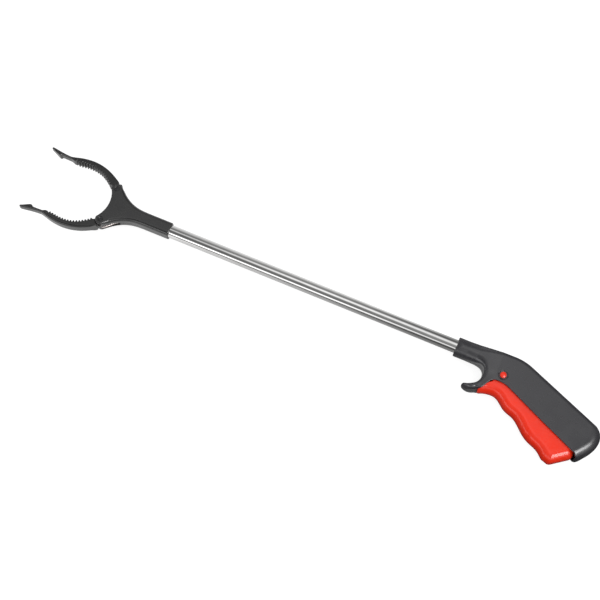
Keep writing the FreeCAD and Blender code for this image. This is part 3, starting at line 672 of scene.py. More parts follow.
HANDLE_GREY = moulded(
    "handle_moulding", base=(0.0300, 0.0292, 0.0345), light=(0.0325, 0.0317, 0.0370),
    dark=(0.0272, 0.0265, 0.0315), roughness=0.27, specular=1.0, grain=0.000010, wear=0.12)
HEAD_BLACK = moulded(
    "head_moulding", base=(0.0150, 0.0150, 0.0155), light=(0.0166, 0.0166, 0.0171),
    dark=(0.0134, 0.0134, 0.0138), roughness=0.24, specular=1.0, grain=0.000007, wear=0.12)
JAW_BLACK = moulded(
    "jaw_moulding", base=(0.0110, 0.0108, 0.0110), light=(0.0124, 0.0122, 0.0124),
    dark=(0.0096, 0.0094, 0.0097), roughness=0.21, specular=0.85, grain=0.000007, wear=0.20)
TRIGGER_RED = red_plastic("trigger_moulding", roughness=0.19, wear=0.25)
PIN_RED = red_plastic("pin_cap_moulding", roughness=0.22, wear=0.25)
TUBE_METAL = metal(
    "polished_tube", base=(0.85, 0.845, 0.84), tone=(0.76, 0.755, 0.75), roughness=0.055,
    streak=(0.02, 9.0, 9.0), grain=0.0000015)
BRIGHT = metal(
    "ground_steel", base=(0.70, 0.71, 0.73), tone=(0.60, 0.61, 0.63), roughness=0.24,
    streak=(0.4, 9.0, 9.0), grain=0.00001, spots=0.12)
ZINC = metal(
    "zinc_plate", base=(0.58, 0.59, 0.62), tone=(0.50, 0.51, 0.52), roughness=0.38,
    streak=(3.0, 3.0, 3.0), grain=0.00002, spots=0.2)
DARK_ZINC = metal(
    "dark_zinc", base=(0.36, 0.36, 0.38), tone=(0.27, 0.27, 0.28), roughness=0.36,
    streak=(3.0, 3.0, 3.0), grain=0.00002, spots=0.3)
WIRE = metal(
    "drawn_wire", base=(0.66, 0.60, 0.58), tone=(0.55, 0.49, 0.47), roughness=0.30,
    streak=(0.6, 8.0, 8.0), grain=0.00001, spots=0.2)
SPRING_METAL = metal(
    "spring_wire", base=(0.46, 0.47, 0.49), tone=(0.36, 0.36, 0.38), roughness=0.30,
    streak=(1.5, 6.0, 6.0), grain=0.00001, spots=0.25)
BLACK_PIN = metal(
    "blackened_pin", base=(0.10, 0.10, 0.105), tone=(0.07, 0.07, 0.075), roughness=0.42,
    streak=(3.0, 3.0, 3.0), grain=0.00003, spots=0.2)
NYLON = moulded(
    "natural_nylon", base=(0.72, 0.70, 0.64), light=(0.78, 0.76, 0.70),
    dark=(0.66, 0.64, 0.58), roughness=0.45, specular=0.5, grain=0.00003, wear=0.0)

# =============================================================== handle shells
# outlines are (x, y); the seam is the handle's edge along the trigger, from the butt
SEAM = [(291.5, -57.0), (286.5, -54.9), (275.6, -49.9), (264.0, -44.7), (252.6, -39.5),
        (240.6, -33.9), (229.0, -28.5), (222.7, -25.5), (216.9, -22.8), (212.8, -21.1),
        (208.5, -20.2), (204.4, -19.9), (201.4, -20.1), (199.0, -20.9)]
HOOK = [(166.0, -9.6), (172.0, -9.55), (178.0, -9.4), (182.0, -9.2), (184.9, -9.9),
        (187.0, -11.6), (188.3, -14.0), (188.75, -17.0), (188.7, -20.0), (188.0, -23.2),
        (186.2, -26.6), (183.6, -28.9), (180.6, -30.2), (177.0, -31.0), (174.5, -31.9),
        (173.7, -33.9), (174.9, -35.9), (177.4, -36.9), (181.0, -36.7), (184.6, -35.6),
        (187.6, -34.2), (190.6, -32.4), (192.5, -30.4), (194.1, -27.8), (195.6, -25.0),
        (197.1, -22.6)]
BUTT = [SEAM[0], (293.6, -59.5), (296.1, -60.7), (298.6, -59.6), (301.6, -55.9),
        (305.0, -51.5), (308.2, -46.2), (310.3, -40.6), (310.9, -35.6), (309.7, -30.9),
        (306.8, -27.3), (302.4, -24.1)]
NECK = [(199.0, 9.5), (189.0, 9.5), (178.0, 9.6), (168.0, COLLAR_R), (160.0, COLLAR_R)]
BACK_CORNER, BACK_R = (220.9, 9.7), 46.0
OVERRUN_X = COLLAR_X0 - 3.0               # the outline runs past the collar's end face
# the butt's curve alone, carried on past the seam and the back
BUTT_ROUND = [(285.0, -76.0), (292.0, -67.6), *BUTT[3:8], (311.0, -35.6), (310.6, -30.4),
              (308.6, -25.0), (304.0, -17.0), (297.0, -6.0), (288.0, 8.0)]
CAVITY_NECK = [(212.0, 7.2), (218.5, 6.7), (224.0, 5.4), (231.0, 2.9), (239.0, -0.4)]
CAVITY_BUTT = [(293.4, -22.9), (299.0, -25.5), (303.5, -28.7), (306.6, -32.3),
               (307.8, -36.0), (306.5, -39.6), (303.6, -44.2)]
CAVITY_FRONT = [(293.2, -60.6), (286.0, -62.0), (203.0, -25.6), (198.8, -20.95), (197.5, -17.0)]
# x, half thickness, edge rounding
HANDLE_STATIONS = np.array([
    (140.0, COLLAR_R, COLLAR_R - 0.02), (168.0, COLLAR_R, COLLAR_R - 0.02),
    (178.0, 9.95, 8.6), (189.0, 11.1, 6.4),
    (200.0, HANDLE_HALF, HANDLE_EDGE), (400.0, HANDLE_HALF, HANDLE_EDGE)]).T
BOSS_R, PIN_BOSS_R = 3.3, 5.2
RIB_XS = (246.0, 279.0)
HANDLE_BOX = ((150.0, -80.0), (318.0, 16.0))

handle_outline = distance_to(np.vstack([
    [(OVERRUN_X, -COLLAR_R), (160.0, -COLLAR_R)],
    spline(HOOK + SEAM[::-1], 6),
    spline(BUTT, 6),
    round_corner(BUTT[-1], BACK_CORNER, NECK[0], BACK_R, 24),
    spline(NECK, 4),
    [(OVERRUN_X, COLLAR_R)]]), HANDLE_BOX)
seam_line = distance_to(np.vstack([spline(SEAM), spline([SEAM[-1]] + HOOK[:-5:-1], 6)]),
                        HANDLE_BOX, closed=False)
butt_outline = distance_to(np.vstack([spline(BUTT_ROUND, 6), [(150.0, 60.0), (150.0, -120.0)]]),
                           HANDLE_BOX)
cavity_outline = distance_to(np.vstack([
    [(197.5, 6.9)], spline(CAVITY_NECK), spline(CAVITY_BUTT), CAVITY_FRONT]), HANDLE_BOX)


def handle_wall(x, y, z):
    """Both shells as one hollow piece."""
    station_x, station_half, station_edge = HANDLE_STATIONS
    half = np.interp(x, station_x, station_half)
    edge = np.interp(x, station_x, station_edge)
    # the hook is thinner than the grip
    half = between(half, HOOK_HALF, fade(-y, 8.0, 18.0) * fade(-x, -205.0, 21.0))
    edge = between(edge, HOOK_EDGE,
                   fade(-y, 3.0, 9.0) * fade(-x, -205.0, 14.0) * fade(x, 176.0, 9.0))
    # crisp edge along the trigger
    edge = between(0.45, edge, fade(seam_line(x, y), 0.8, 6.5))
    butt = butt_outline(x, y)
    body = plate(handle_outline(x, y), z, half, edge)
    body = meet(body, plate(butt, z, HANDLE_HALF, 11.4), 1.2)
    body = meet(body, COLLAR_X0 - x, 0.9)
    # tube socket, and a narrower bore that goes on from it
    from_axis = np.hypot(y, z)
    bore = union(overlap(from_axis - TUBE_FIT_R, x - 178.0), overlap(from_axis - 6.0, x - 198.5))
    body = cut(body, bore, 0.25)
    cavity = overlap(plate(cavity_outline(x, y), z, HANDLE_CAVITY_HALF, 1.6),
                     plate(butt + 2.2, z, HANDLE_CAVITY_HALF, 9.2))
    wall = cut(body, cavity, 0.35)
    core = body + 0.6                     # bosses and ribs stay this far inside the skin
    for centre in HANDLE_SCREWS[1:]:
        wall = join(wall, overlap(rod(x, y, centre, BOSS_R), core), 0.6)
    pin_boss = overlap(rod(x, y, PIVOT, PIN_BOSS_R), 9.45 - np.abs(z))
    wall = join(wall, overlap(pin_boss, core), 0.4)
    for rib_x in RIB_XS:                  # short ribs on the back wall of the cavity
        back_y = float(np.interp(rib_x, *np.transpose([CAVITY_NECK[-1], CAVITY_BUTT[0]])))
        rib = overlap(slab(x, rib_x - 0.8, rib_x + 0.8), slab(y, back_y - 3.2, back_y + 0.8))
        wall = join(wall, overlap(rib, core), 0.3)
    return cut(wall, rod(x, y, PIVOT, PIVOT_R), 0.2)


def left_shell(x, y, z):
    """The +z half, with blind screw holes and the seat of the pin's head."""
    shell = half_moulding(handle_wall(x, y, z), x, y, z, HANDLE_NIB, nib_top=7.2, groove=0.3)
    shell = blind_holes(shell, x, y, z, HANDLE_SCREWS, top=8.0, edge=0.15)
    return cut(shell, overlap(rod(x, y, PIVOT, 4.4), HANDLE_HALF - 0.85 - z), 0.25)


def right_shell(x, y, z):
    """The -z half, with sunk screw heads and the seat of the push nut."""
    shell = half_moulding(handle_wall(x, y, z), x, y, -z, HANDLE_NIB, nib_top=7.2, groove=0.3)
    shell = head_holes(shell, x, y, z, HANDLE_SCREWS, HANDLE_HALF,
                       head_gap=0.2, head_depth=2.3, edge=0.15)
    return cut(shell, overlap(rod(x, y, PIVOT, 4.6), z + HANDLE_HALF - 1.3), 0.25)


mould("handle_left", left_shell, (154.9, -61.0, -0.9), (312.5, 12.2, 12.9), cell=0.6,
      body="frame", node="handle_shell_left", material=HANDLE_GREY)
mould("handle_right", right_shell, (154.9, -61.0, -12.9), (312.5, 12.2, 0.9), cell=0.6,
      body="frame", node="handle_shell_right", material=HANDLE_GREY)

# ==================================================================== trigger
# outlines are (x, y); FINGER is the side that the fingers pull
FINGER = [(191.6, -33.3), (194.6, -32.0), (198.6, -31.0), (202.6, -30.5), (206.6, -30.9),
          (210.6, -32.6), (214.4, -35.5), (218.6, -38.9), (223.0, -41.1), (228.0, -42.8),
          (232.2, -45.1), (236.2, -48.4), (240.2, -52.2), (244.4, -55.9), (249.0, -58.9),
          (254.0, -61.1), (258.8, -63.1), (262.6, -65.6), (266.2, -68.9), (269.0, -70.9),
          (271.8, -71.5), (274.4, -70.6)]
TAIL = [(288.6, -60.3), (291.4, -57.9), (292.4, -55.4), (291.9, -52.9), (290.2, -50.9)]
TRIGGER_BACK = [(222.0, -19.6), (216.5, -16.6), (212.7, -12.6)]
TRIGGER_NOSE = [(199.7, -17.6), (199.6, -20.9), (197.6, -23.2), (196.15, -25.5),
                (194.6, -28.2), (193.0, -30.8), FINGER[0]]
END_CORNER = (274.0, -72.4)
POCKET_FRONT = [(222.0, -30.0), (228.0, -33.4), (236.0, -39.5), (244.0, -47.2),
                (252.0, -51.6), (260.0, -55.6), (267.0, -61.0)]
POCKET_BACK = [(272.0, -62.6), (284.6, -54.4), (290.0, -44.0), (226.0, -15.0)]
TRIGGER_RIB = [(247.4, -57.0), (249.4, -57.9), (256.4, -42.5), (254.4, -41.0), (247.0, -40.0)]
TRIGGER_BOX = ((185.0, -78.0), (300.0, 6.0))
DRIVE_PIN = (PIVOT[0], PIVOT[1] + TRIGGER_ARM)

finger_line = spline(FINGER, 6)
trigger_outline = distance_to(np.vstack([
    finger_line, spline(TAIL, 5), spline(TRIGGER_BACK, 5),
    arc_through(TRIGGER_BACK[-1], (206.5, -6.88), (200.32, -12.6)),
    spline(TRIGGER_NOSE, 5)[:-1]]), TRIGGER_BOX)
# the finger side and the end alone, carried on past the hidden back
finger_outline = distance_to(np.vstack([
    finger_line[:-15],
    round_corner(FINGER[-4], END_CORNER, (289.8, -60.4), 4.0, 8),
    round_corner(END_CORNER, (290.2, -60.0), (291.0, -52.0), 4.5, 8),
    [(291.0, -40.0), (250.0, 20.0), (170.0, 20.0), (170.0, -34.6)]]), TRIGGER_BOX)
pocket_outline = distance_to(np.vstack([spline(POCKET_FRONT, 5), POCKET_BACK]), TRIGGER_BOX)
rib_outline = distance_to(TRIGGER_RIB, TRIGGER_BOX)


def trigger_field(x, y, z):
    finger = finger_outline(x, y) - 1.6
    outline = trigger_outline(x, y) - 2.2 * fade(finger, -11.0, 6.0)
    body = plate(outline, z, TRIGGER_HALF, 0.6)
    lever = meet(body, plate(finger, z, TRIGGER_HALF, 8.8), 0.3)
    lever = cut(lever, plate(pocket_outline(x, y), z, TRIGGER_HALF - 2.4, 1.2), 0.4)
    rib = overlap(rib_outline(x, y), np.abs(z) - 7.2)
    lever = join(lever, overlap(rib, body), 0.3)
    # the top is cut off level, and two arms reach up from it to the drive pin
    lever = cut(lever, overlap(slab(x, 196.0, 222.0), -6.95 - y), 0.4)
    for side in (1.0, -1.0):
        arm = pill(x, y, (PIVOT[0], PIVOT[1] + 2.0), DRIVE_PIN, 3.4)
        lever = join(lever, band(arm, z * side, 4.9, 8.6, 0.35), 0.3)
    lever = cut(lever, rod(x, y, PIVOT, PIVOT_R + 0.05), 0.2)
    return cut(lever, rod(x, y, DRIVE_PIN, DRIVE_R + 0.02), 0.15)


mould("trigger_lever", trigger_field, (188.6, -75.6, -10.2), (296.0, 1.5, 10.2), cell=0.5,
      body="trigger", node="trigger", material=TRIGGER_RED)

# ======================================================================= head
# outlines are (x, y) of the +y half
PRONG_ARC = (math.radians(52.0), math.radians(196.0))
prong_start, prong_middle, prong_end = (
    (JAW_PIVOT[0] + PRONG_R * math.cos(a), JAW_PIVOT[1] + PRONG_R * math.sin(a))
    for a in (PRONG_ARC[0], sum(PRONG_ARC) / 2, PRONG_ARC[1]))
HEAD_SIDE = [(HEAD_X1, HEAD_COLLAR_R), (-160.0, HEAD_COLLAR_R), (-170.0, HEAD_COLLAR_R),
             (-178.0, 7.4), (-184.0, 7.9), (-189.0, 8.9), (-194.0, 10.6), (-199.0, 13.1),
             (-204.0, 16.5), (-208.0, 19.8), prong_start]
CHANNEL = [(-180.0, 0.6), (-180.0, 5.9), (-187.0, 6.7), (-191.5, 7.7), (-197.0, 10.6),
           (-198.6, 13.8), (-204.0, 19.5), (-211.0, 27.0), (-214.0, 27.0), (-219.0, 16.0),
           (-213.5, 12.4), (-208.6, 11.2), (-203.0, 8.0), (-197.5, 4.9), (-191.5, 3.7),
           (-184.0, 3.3)]
PRONG_GAP = [JAW_PIVOT, (-213.0, 30.0), (-232.0, 30.0), (-232.0, 14.0), (-221.8, 14.6)]
HEAD_BOX = ((-228.0, -30.0), (-140.0, 30.0))

head_side = spline(HEAD_SIDE, 6)
head_side[0, 0] = -144.0                  # runs past the collar's end face
prong = arc_through(prong_start, prong_middle, prong_end)[1:-1]
mouth = arc_through(prong_end, (MOUTH_X, 0.0), (prong_end[0], -prong_end[1]), 40)
mirror_y = np.array([1.0, -1.0])
head_outline = distance_to(np.vstack([
    head_side, prong, mouth, (prong * mirror_y)[::-1], (head_side * mirror_y)[::-1]]),
    HEAD_BOX, step=0.25)
mouth_line = distance_to(mouth, HEAD_BOX, closed=False)
channel_outline = distance_to(CHANNEL, HEAD_BOX, step=0.25)
gap_outline = distance_to(PRONG_GAP, ((-240.0, 0.0), (-200.0, 36.0)), step=0.25)


def head_field(x, y, z):
    """Both head halves as one piece."""
    from_mouth = mouth_line(x, y)
    edge = (0.5 + 3.1 * fade(from_mouth, 1.0, 5.5) * fade(x, -214.5, 8.0)
            + 0.6 * fade(-x, 208.0, 6.0) * fade(from_mouth, 1.0, 3.0))
    body = plate(head_outline(x, y), z, HEAD_HALF, edge)
    body = meet(body, x - HEAD_X1, 0.8)
    # tube socket, and a narrower bore that goes on from it
    from_axis = np.hypot(y, z)
    body = cut(body, overlap(from_axis - TUBE_FIT_R, -167.8 - x), 0.25)
    body = cut(body, overlap(from_axis - 6.15, slab(x, -182.4, -167.0)), 0.2)
    # a channel to each jaw, and the slot that the jaw turns in
    y = np.abs(y)
    body = cut(body, band(channel_outline(x, y), z, -SLOT_HALF, 1.0, 0.35), 0.3)
    body = cut(body, band(rod(x, y, JAW_PIVOT, 6.35), z, -SLOT_HALF, SLOT_HALF, 0.2), 0.2)
    body = cut(body, band(gap_outline(x, y), z, -SLOT_HALF, SLOT_HALF, 0.2), 0.2)
    body = cut(body, rod(x, y, JAW_PIVOT, JAW_PIN_R), 0.15)
    pin_seat = overlap(rod(x, y, JAW_PIVOT, 2.75), HEAD_HALF - 0.9 - np.abs(z))
    return cut(body, pin_seat, 0.25)


def head_front(x, y, z):
    """The +z half, with blind screw holes."""
    half = half_moulding(head_field(x, y, z), x, y, z, HEAD_NIB, nib_top=7.0, groove=0.28)
    return blind_holes(half, x, y, z, HEAD_SCREWS, top=5.2, edge=0.12)


def head_rear(x, y, z):
    """The -z half, with sunk screw heads."""
    half = half_moulding(head_field(x, y, z), x, y, -z, HEAD_NIB, nib_top=7.0, groove=0.28)
    return head_holes(half, x, y, z, HEAD_SCREWS, HEAD_HALF,
                      head_gap=0.1, head_depth=2.2, edge=0.12)


mould("head_front", head_front, (-222.3, -25.3, -0.8), (-145.5, 25.3, 8.2), cell=0.42,
      body="frame", node="yoke_front_half", material=HEAD_BLACK)
mould("head_rear", head_rear, (-222.3, -25.3, -8.2), (-145.5, 25.3, 0.8), cell=0.42,
      body="frame", node="yoke_rear_half", material=HEAD_BLACK)

# ======================================================================= jaws
# outlines are (x, y) of the upper jaw: the back, the tip, and the line under the teeth
JAW_BACK = [(-216.6, 25.8), (-221.8, 29.3), (-226.2, 31.7), (-231.2, 34.0), (-236.6, 35.8),
            (-242.0, 37.1), (-247.6, 37.8), (-253.2, 37.9), (-258.8, 37.4), (-264.6, 36.4),
            (-270.2, 34.9), (-275.0, 33.8)]
TIP_BACK = [JAW_BACK[-1], (-280.0, 34.1), (-286.0, 34.8), (-291.6, 35.7), (-296.0, 36.4)]
TIP_INNER = [(-297.5, 36.3), (-298.2, 35.5), (-297.8, 34.5), (-287.4, 30.3), (-286.0, 30.4),
             (-284.6, 31.5), (-279.0, 31.4), (-274.0, 31.2), (-270.4, 30.3), (-267.9, 30.4)]
TOOTH_LINE = [(-222.6, 20.6), (-225.2, 23.0), (-228.2, 25.3), (-231.6, 27.6), (-235.4, 29.7),
              (-239.6, 31.5), (-244.0, 32.6), (-248.6, 33.2), (-253.2, 33.3), (-257.8, 32.9),
              (-262.2, 32.2), (-267.0, 31.7)]
TEETH, TOOTH_HEIGHT = 16, 2.1
# share of the pitch, height
TOOTH = [(0.02, 0.0), (0.46, TOOTH_HEIGHT), (0.54, TOOTH_HEIGHT), (0.98, 0.0)]
JAW_BOX = ((-305.0, 8.0), (-205.0, 44.0))

tooth_line = spline(TOOTH_LINE, 40)
line_length = np.r_[0, np.cumsum(np.hypot(*np.diff(tooth_line, axis=0).T))]


def on_tooth_line(along, height=0.0):
    """Point at a distance along the tooth line, raised from it towards -y."""
    before, here, after = (
        np.array([np.interp(s, line_length, tooth_line[:, axis]) for axis in (0, 1)])
        for s in (along - 0.2, along, along + 0.2))
    run = (after - before) / np.linalg.norm(after - before)
    normal = np.array([run[1], -run[0]])
    return here + (normal if normal[1] < 0 else -normal) * height


pitch = line_length[-1] / TEETH
teeth = [on_tooth_line(pitch * (k + share), height) for k in range(TEETH)
         for share, height in TOOTH]
teeth.append(on_tooth_line(line_length[-1]))

# concave seat round the prong of the head
seat_start = math.radians(166.0)
seat_end = math.atan2(JAW_BACK[0][1] - JAW_PIVOT[1], JAW_BACK[0][0] - JAW_PIVOT[0])
seat = arc(JAW_PIVOT, PRONG_R + 0.35, seat_start, seat_end - seat_start, 16)
jaw_outline = distance_to(np.vstack([
    seat, spline(JAW_BACK, 6), spline(TIP_BACK, 4)[1:], TIP_INNER, teeth[::-1]]),
    JAW_BOX, step=0.15)
jaw_back_line = distance_to(np.vstack([spline(JAW_BACK, 6), spline(TIP_BACK, 4)]),
                            JAW_BOX, closed=False)
neck_outline = distance_to([
    (JAW_PIVOT[0] - 1.0, JAW_PIVOT[1] - 2.6), (JAW_PIVOT[0] + 0.5, JAW_PIVOT[1] + 4.4),
    (-217.6, 26.0), (-222.6, 26.0), (-223.4, 21.2)], JAW_BOX, step=0.2)
lug_angle = math.radians(90.0 - JAW_CLOSE / 2.0)
LUG = (JAW_PIVOT[0] + LUG_R * math.cos(lug_angle), JAW_PIVOT[1] + LUG_R * math.sin(lug_angle))


def jaw_field(x, y, z):
    """Upper jaw: a toothed blade that thins to the tip, and a tongue with the link's lug."""
    taper = (JAW_HALF - JAW_TIP_HALF + 0.1) / 65.0
    half = JAW_HALF + np.minimum(x + 240.0, 0.0) * taper
    edge = 0.32 + 1.9 * fade(-jaw_back_line(x, y), -4.8, 2.8) * fade(-x, 217.5, 5.0)
    jaw = plate(jaw_outline(x, y), z, half, edge)
    tongue = union(rod(x, y, JAW_PIVOT, PRONG_R - 0.25), pill(x, y, JAW_PIVOT, LUG, 1.95))
    tongue = union(tongue, neck_outline(x, y))
    jaw = union(jaw, band(tongue, z, *TONGUE_Z, 0.25))
    jaw = cut(jaw, rod(x, y, JAW_PIVOT, JAW_PIN_R + 0.05), 0.12)
    return cut(jaw, rod(x, y, LUG, LINK_R + 0.22), 0.12)


for which, side in (("upper", 1.0), ("lower", -1.0)):
    low_y, high_y = sorted((11.6 * side, 39.3 * side))
    mould(f"jaw_{which}_blade", lambda x, y, z: jaw_field(x, y * side, z),
          (-300.4, low_y, -6.6), (-209.0, high_y, 6.6), cell=0.36,
          body=f"{which}_jaw", node=f"jaw_{which}", material=JAW_BLACK)


# ============================================================== turned pieces
def bend(along, across, radius, start, end):
    """Rounded corner of a profile; angles in degrees."""
    return arc((along, across), radius, math.radians(start), math.radians(end - start), 5)


def make_tube():
    """Drawn shaft tube with rounded ends."""
    outer, inner = 0.3, 0.2               # end rounding, outside and in the bore
    profile = np.vstack([
        bend(TUBE_X0 + outer, TUBE_R - outer, outer, 180, 90),
        [(TUBE_X0 + 6.0, TUBE_R)],
        [(x, TUBE_R) for x in np.linspace(TUBE_X0 + 14.0, TUBE_X1 - 14.0, 40)],
        [(TUBE_X1 - 6.0, TUBE_R)],
        bend(TUBE_X1 - outer, TUBE_R - outer, outer, 90, 0),
        bend(TUBE_X1 - inner, TUBE_BORE_R + inner, inner, 0, -90),
        [(x, TUBE_BORE_R) for x in np.linspace(TUBE_X1 - 10.0, TUBE_X0 + 10.0, 12)],
        bend(TUBE_X0 + inner, TUBE_BORE_R + inner, inner, 270, 180)])
    tube = lathe("shaft_tube_polished", profile, sides=128, axis="x", centre=(0, 0, 0),
                 closed=True)
    attach(tube, "frame", "shaft_tube", TUBE_METAL)


def make_trigger_pin():
    """Domed pin with a soft rim and a shaft that runs to the push nut."""
    head_r, rim = 3.0, 0.35
    head_z, top_z = HANDLE_HALF - 0.8, HANDLE_HALF + 1.55
    shaft_r = PIVOT_R - 0.02
    rim_curve = bend(head_r - rim, head_z + 1.15, rim, 0, 58)      # (radius, z)
    rim_r, rim_z = rim_curve[-1]
    dome = []
    for k in range(1, 10):
        radius = rim_r * (1 - k / 11.0)
        dome.append((top_z - (top_z - rim_z) * (radius / rim_r) ** 2, radius))
    profile = np.vstack([
        [(-HANDLE_HALF + 0.25, 2.2), (-HANDLE_HALF + 0.55, shaft_r), (head_z, shaft_r),
         (head_z, head_r)],
        rim_curve[:, ::-1], dome, [(top_z, 0.05)]])
    pin = lathe("trigger_pin_red", profile, sides=72, axis="z", centre=(*PIVOT, 0), closed=False)
    attach(pin, "frame", "trigger_pin", PIN_RED)


def make_spring():
    """Return spring with closed end coils, on a mesh of its own; in the grabber the sliding rod
    squashes it.
    """
    low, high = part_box("return_spring")
    start = low.x * 1000 - SHIFT[0] + 0.05
    end = high.x * 1000 - SHIFT[0] - 0.05
    turns, coil_r, wire_r = 6.5, 4.55, 0.5
    steps, sides = 520, 14
    t = np.linspace(0, 1, steps)
    lift = np.interp(t, [0, 0.11, 0.89, 1.0], [0.0, 0.055, 0.945, 1.0])
    x = start + wire_r + (end - start - 2 * wire_r) * lift
    angle = 2 * math.pi * turns * t
    centres = np.stack([x, coil_r * np.cos(angle), coil_r * np.sin(angle)], 1)
    outward = np.stack([np.zeros(steps), np.cos(angle), np.sin(angle)], 1)
    sideways = np.cross(unit(np.gradient(centres, axis=0)), outward)
    lines = []
    for k in range(sides):
        a = 2 * math.pi * k / sides
        lines.append(centres + wire_r * (math.cos(a) * outward + math.sin(a) * sideways))
    coil = make_mesh("return_spring_coil", np.stack(lines, 1).reshape(-1, 3),
                     ring_faces(steps, sides, closed=False))
    attach(coil, "frame", "return_spring", SPRING_METAL)
    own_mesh(coil)


make_tube()
make_trigger_pin()
make_spring()

# ====================================================== the other CAD pieces
FINISH = {
    "pin_push_nut": ZINC, "handle_screws": DARK_ZINC, "drive_pin": BRIGHT, "push_rod": BRIGHT,
    "rear_rod_bush": NYLON, "front_rod_bush": NYLON, "rod_end": ZINC,
    "rod_end_set_screw": DARK_ZINC, "crosshead": ZINC, "link_upper": WIRE, "link_lower": WIRE,
    "yoke_screws": DARK_ZINC, "jaw_pin_upper": BLACK_PIN, "jaw_pin_lower": BLACK_PIN}
for name, material in FINISH.items():
    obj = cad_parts[name]
    if obj.material_slots:
        for slot in obj.material_slots:
            slot.link = "OBJECT"
            slot.material = material
    else:
        obj.data.materials.append(material)
    obj.data.polygons.foreach_set("use_smooth", np.ones(len(obj.data.polygons), bool))
    weld = obj.modifiers.new("weld", "WELD")
    weld.merge_threshold = 1e-6
    crease(obj, 30.0)

# ====================================================================== stage
# World strength in reflections: per x of the direction, (angle round the shaft, strength).
# Angles in degrees, 0 straight up and +90 towards the fingers' side (-y).
STRIPS = [
    (-0.27, [(-180, .4), (-90, .60), (-76, .62), (-53, .30), (-33, .21), (-26, .16),
             (-19, .56), (-14.5, .66), (3, .24), (20, .12), (38, .22), (49, .50), (56, 2.2),
             (64, 2.0), (72, .50), (80, .25), (90, .12), (180, .4)]),
    (-0.13, [(-180, .4), (-90, .55), (-76, .52), (-53, .28), (-33, .32), (-14.5, 1.20),
             (3, .52), (20, .20), (38, .18), (50, .30), (58, 1.5), (66, 1.5), (75, .50),
             (82, .20), (90, .10), (180, .4)]),
    (0.0, [(-180, .3), (-90, .20), (-76, .18), (-53, .12), (-33, .55), (-14.5, 1.00),
           (3, .55), (20, .28), (38, .26), (48, .45), (56, 1.1), (64, .55), (73, .10),
           (90, .06), (180, .3)]),
    (0.15, [(-180, .2), (-90, .12), (-76, .12), (-53, .12), (-33, .17), (-14.5, .26),
            (3, .24), (20, .28), (38, .26), (48, .45), (56, 1.0), (64, .5), (73, .15),
            (90, .06), (180, .2)])]
# strength of the tent that lights the body colours: floor level, gain, lean along x, y, z
TENT_BASE, TENT_GAIN, TENT_LEAN = 0.20, 1.50, (0.22, -0.03, 0.90)
# floor strength in reflections on the -y and +y sides, each (jaw end, handle end)
FLOOR_FRONT, FLOOR_BACK = (0.72, 0.20), (0.85, 0.12)
FLOOR_DIFFUSE, FLOOR_CAMERA = 0.16, 0.84  # floor strength for diffuse and camera rays
# painted pool of light in the floor's glow seen in reflections, under the neck: centre, size,
# strength
POOL_AT, POOL_SIZE, POOL_GAIN = (178.0, -22.0, 0), (0.013, 0.016), 0.55   # mm, m


def painted_floor_reflection(m, x, y):
    """Floor strength in reflections at a place in the row frame, in metres: painted light and
    shade on the floor.
    """
    front = m.times(
        m.blend(m.fade(x, over=(-0.15, 0.13)), *FLOOR_FRONT),
        m.blend(m.fade(y, over=(-0.20, -0.07)),
                m.blend(m.fade(x, over=(-0.17, -0.08)), 1.25, 0.25), 1.0))
    # painted shade and light: the floor's glow in reflections is darker towards the handle end and
    # brighter at the jaw end
    front = m.times(front, m.fade(x, over=(0.175, 0.215), to=(1.0, 0.35)))
    front = m.times(front, m.fade(x, over=(-0.165, -0.140), to=(1.32, 1.0)))
    back = m.blend(m.fade(x, over=(0.08, 0.19)), *FLOOR_BACK)
    level = m.blend(m.fade(y, over=(-0.02, 0.05)), front, back)
    # painted shadow: the floor's glow in reflections is darker just under the tube
    off_axis = m.calc("ABSOLUTE", m.minus(y, float(SHIFT[1]) / 1000.0))
    painted_tube_shadow = m.times(m.fade(off_axis, over=(0.004, 0.015), to=(0.5, 0.0)),
                    m.fade(x, over=(-0.160, -0.150)))
    level = m.times(level, m.minus(1.0, painted_tube_shadow))
    # painted pool of light: the floor's glow in reflections is lighter under the neck of the
    # handle
    spread_x, spread_y = (
        m.calc("POWER", m.calc("DIVIDE", m.minus(place, float(centre)), size), 2.0)
        for place, centre, size in zip((x, y), row(POOL_AT), POOL_SIZE))
    painted_light_pool = m.calc("EXPONENT", m.times(m.add(spread_x, spread_y), -1.0))
    return m.add(level, m.times(painted_light_pool, POOL_GAIN))


def lay_floor():
    """White paper that glows: plain white to the camera, softer in the light it gives the piece,
    with painted light and shade in what reflections see.
    """
    bpy.ops.mesh.primitive_plane_add(size=9.0, location=(0, 0, CAD_LO.z - 0.0004))
    floor = bpy.context.object
    floor.name = "floor"
    m = Material("floor_paper")
    rays = m.node("LightPath").outputs
    position = m.node("NewGeometry").outputs["Position"]
    place = m.node("SeparateXYZ", {"Vector": position}).outputs
    glow = m.times(rays["Is Glossy Ray"], painted_floor_reflection(m, place["X"], place["Y"]))
    glow = m.add(glow, m.times(rays["Is Camera Ray"], FLOOR_CAMERA))
    glow = m.add(glow, m.times(rays["Is Diffuse Ray"], FLOOR_DIFFUSE))
    light = m.node("Emission", {"Color": (1.0, 1.0, 1.0, 1.0), "Strength": glow}).outputs[0]
    fibre = m.noise(scale=0.6, detail=4.0, roughness=0.6)
    paper = m.node("BsdfDiffuse", {
        "Color": m.tint((0.32, 0.32, 0.32), (0.30, 0.30, 0.30), where=fibre),
        "Normal": m.bump(fibre, distance=0.00003)}).outputs[0]
    seen = m.node("AddShader", {0: light, 1: paper}).outputs[0]
    result = m.node("MixShader", {0: rays["Is Camera Ray"], 1: light, 2: seen}).outputs[0]
    m.put(result, m.tree.nodes["Material Output"].inputs["Surface"])
    floor.data.materials.append(m.material)


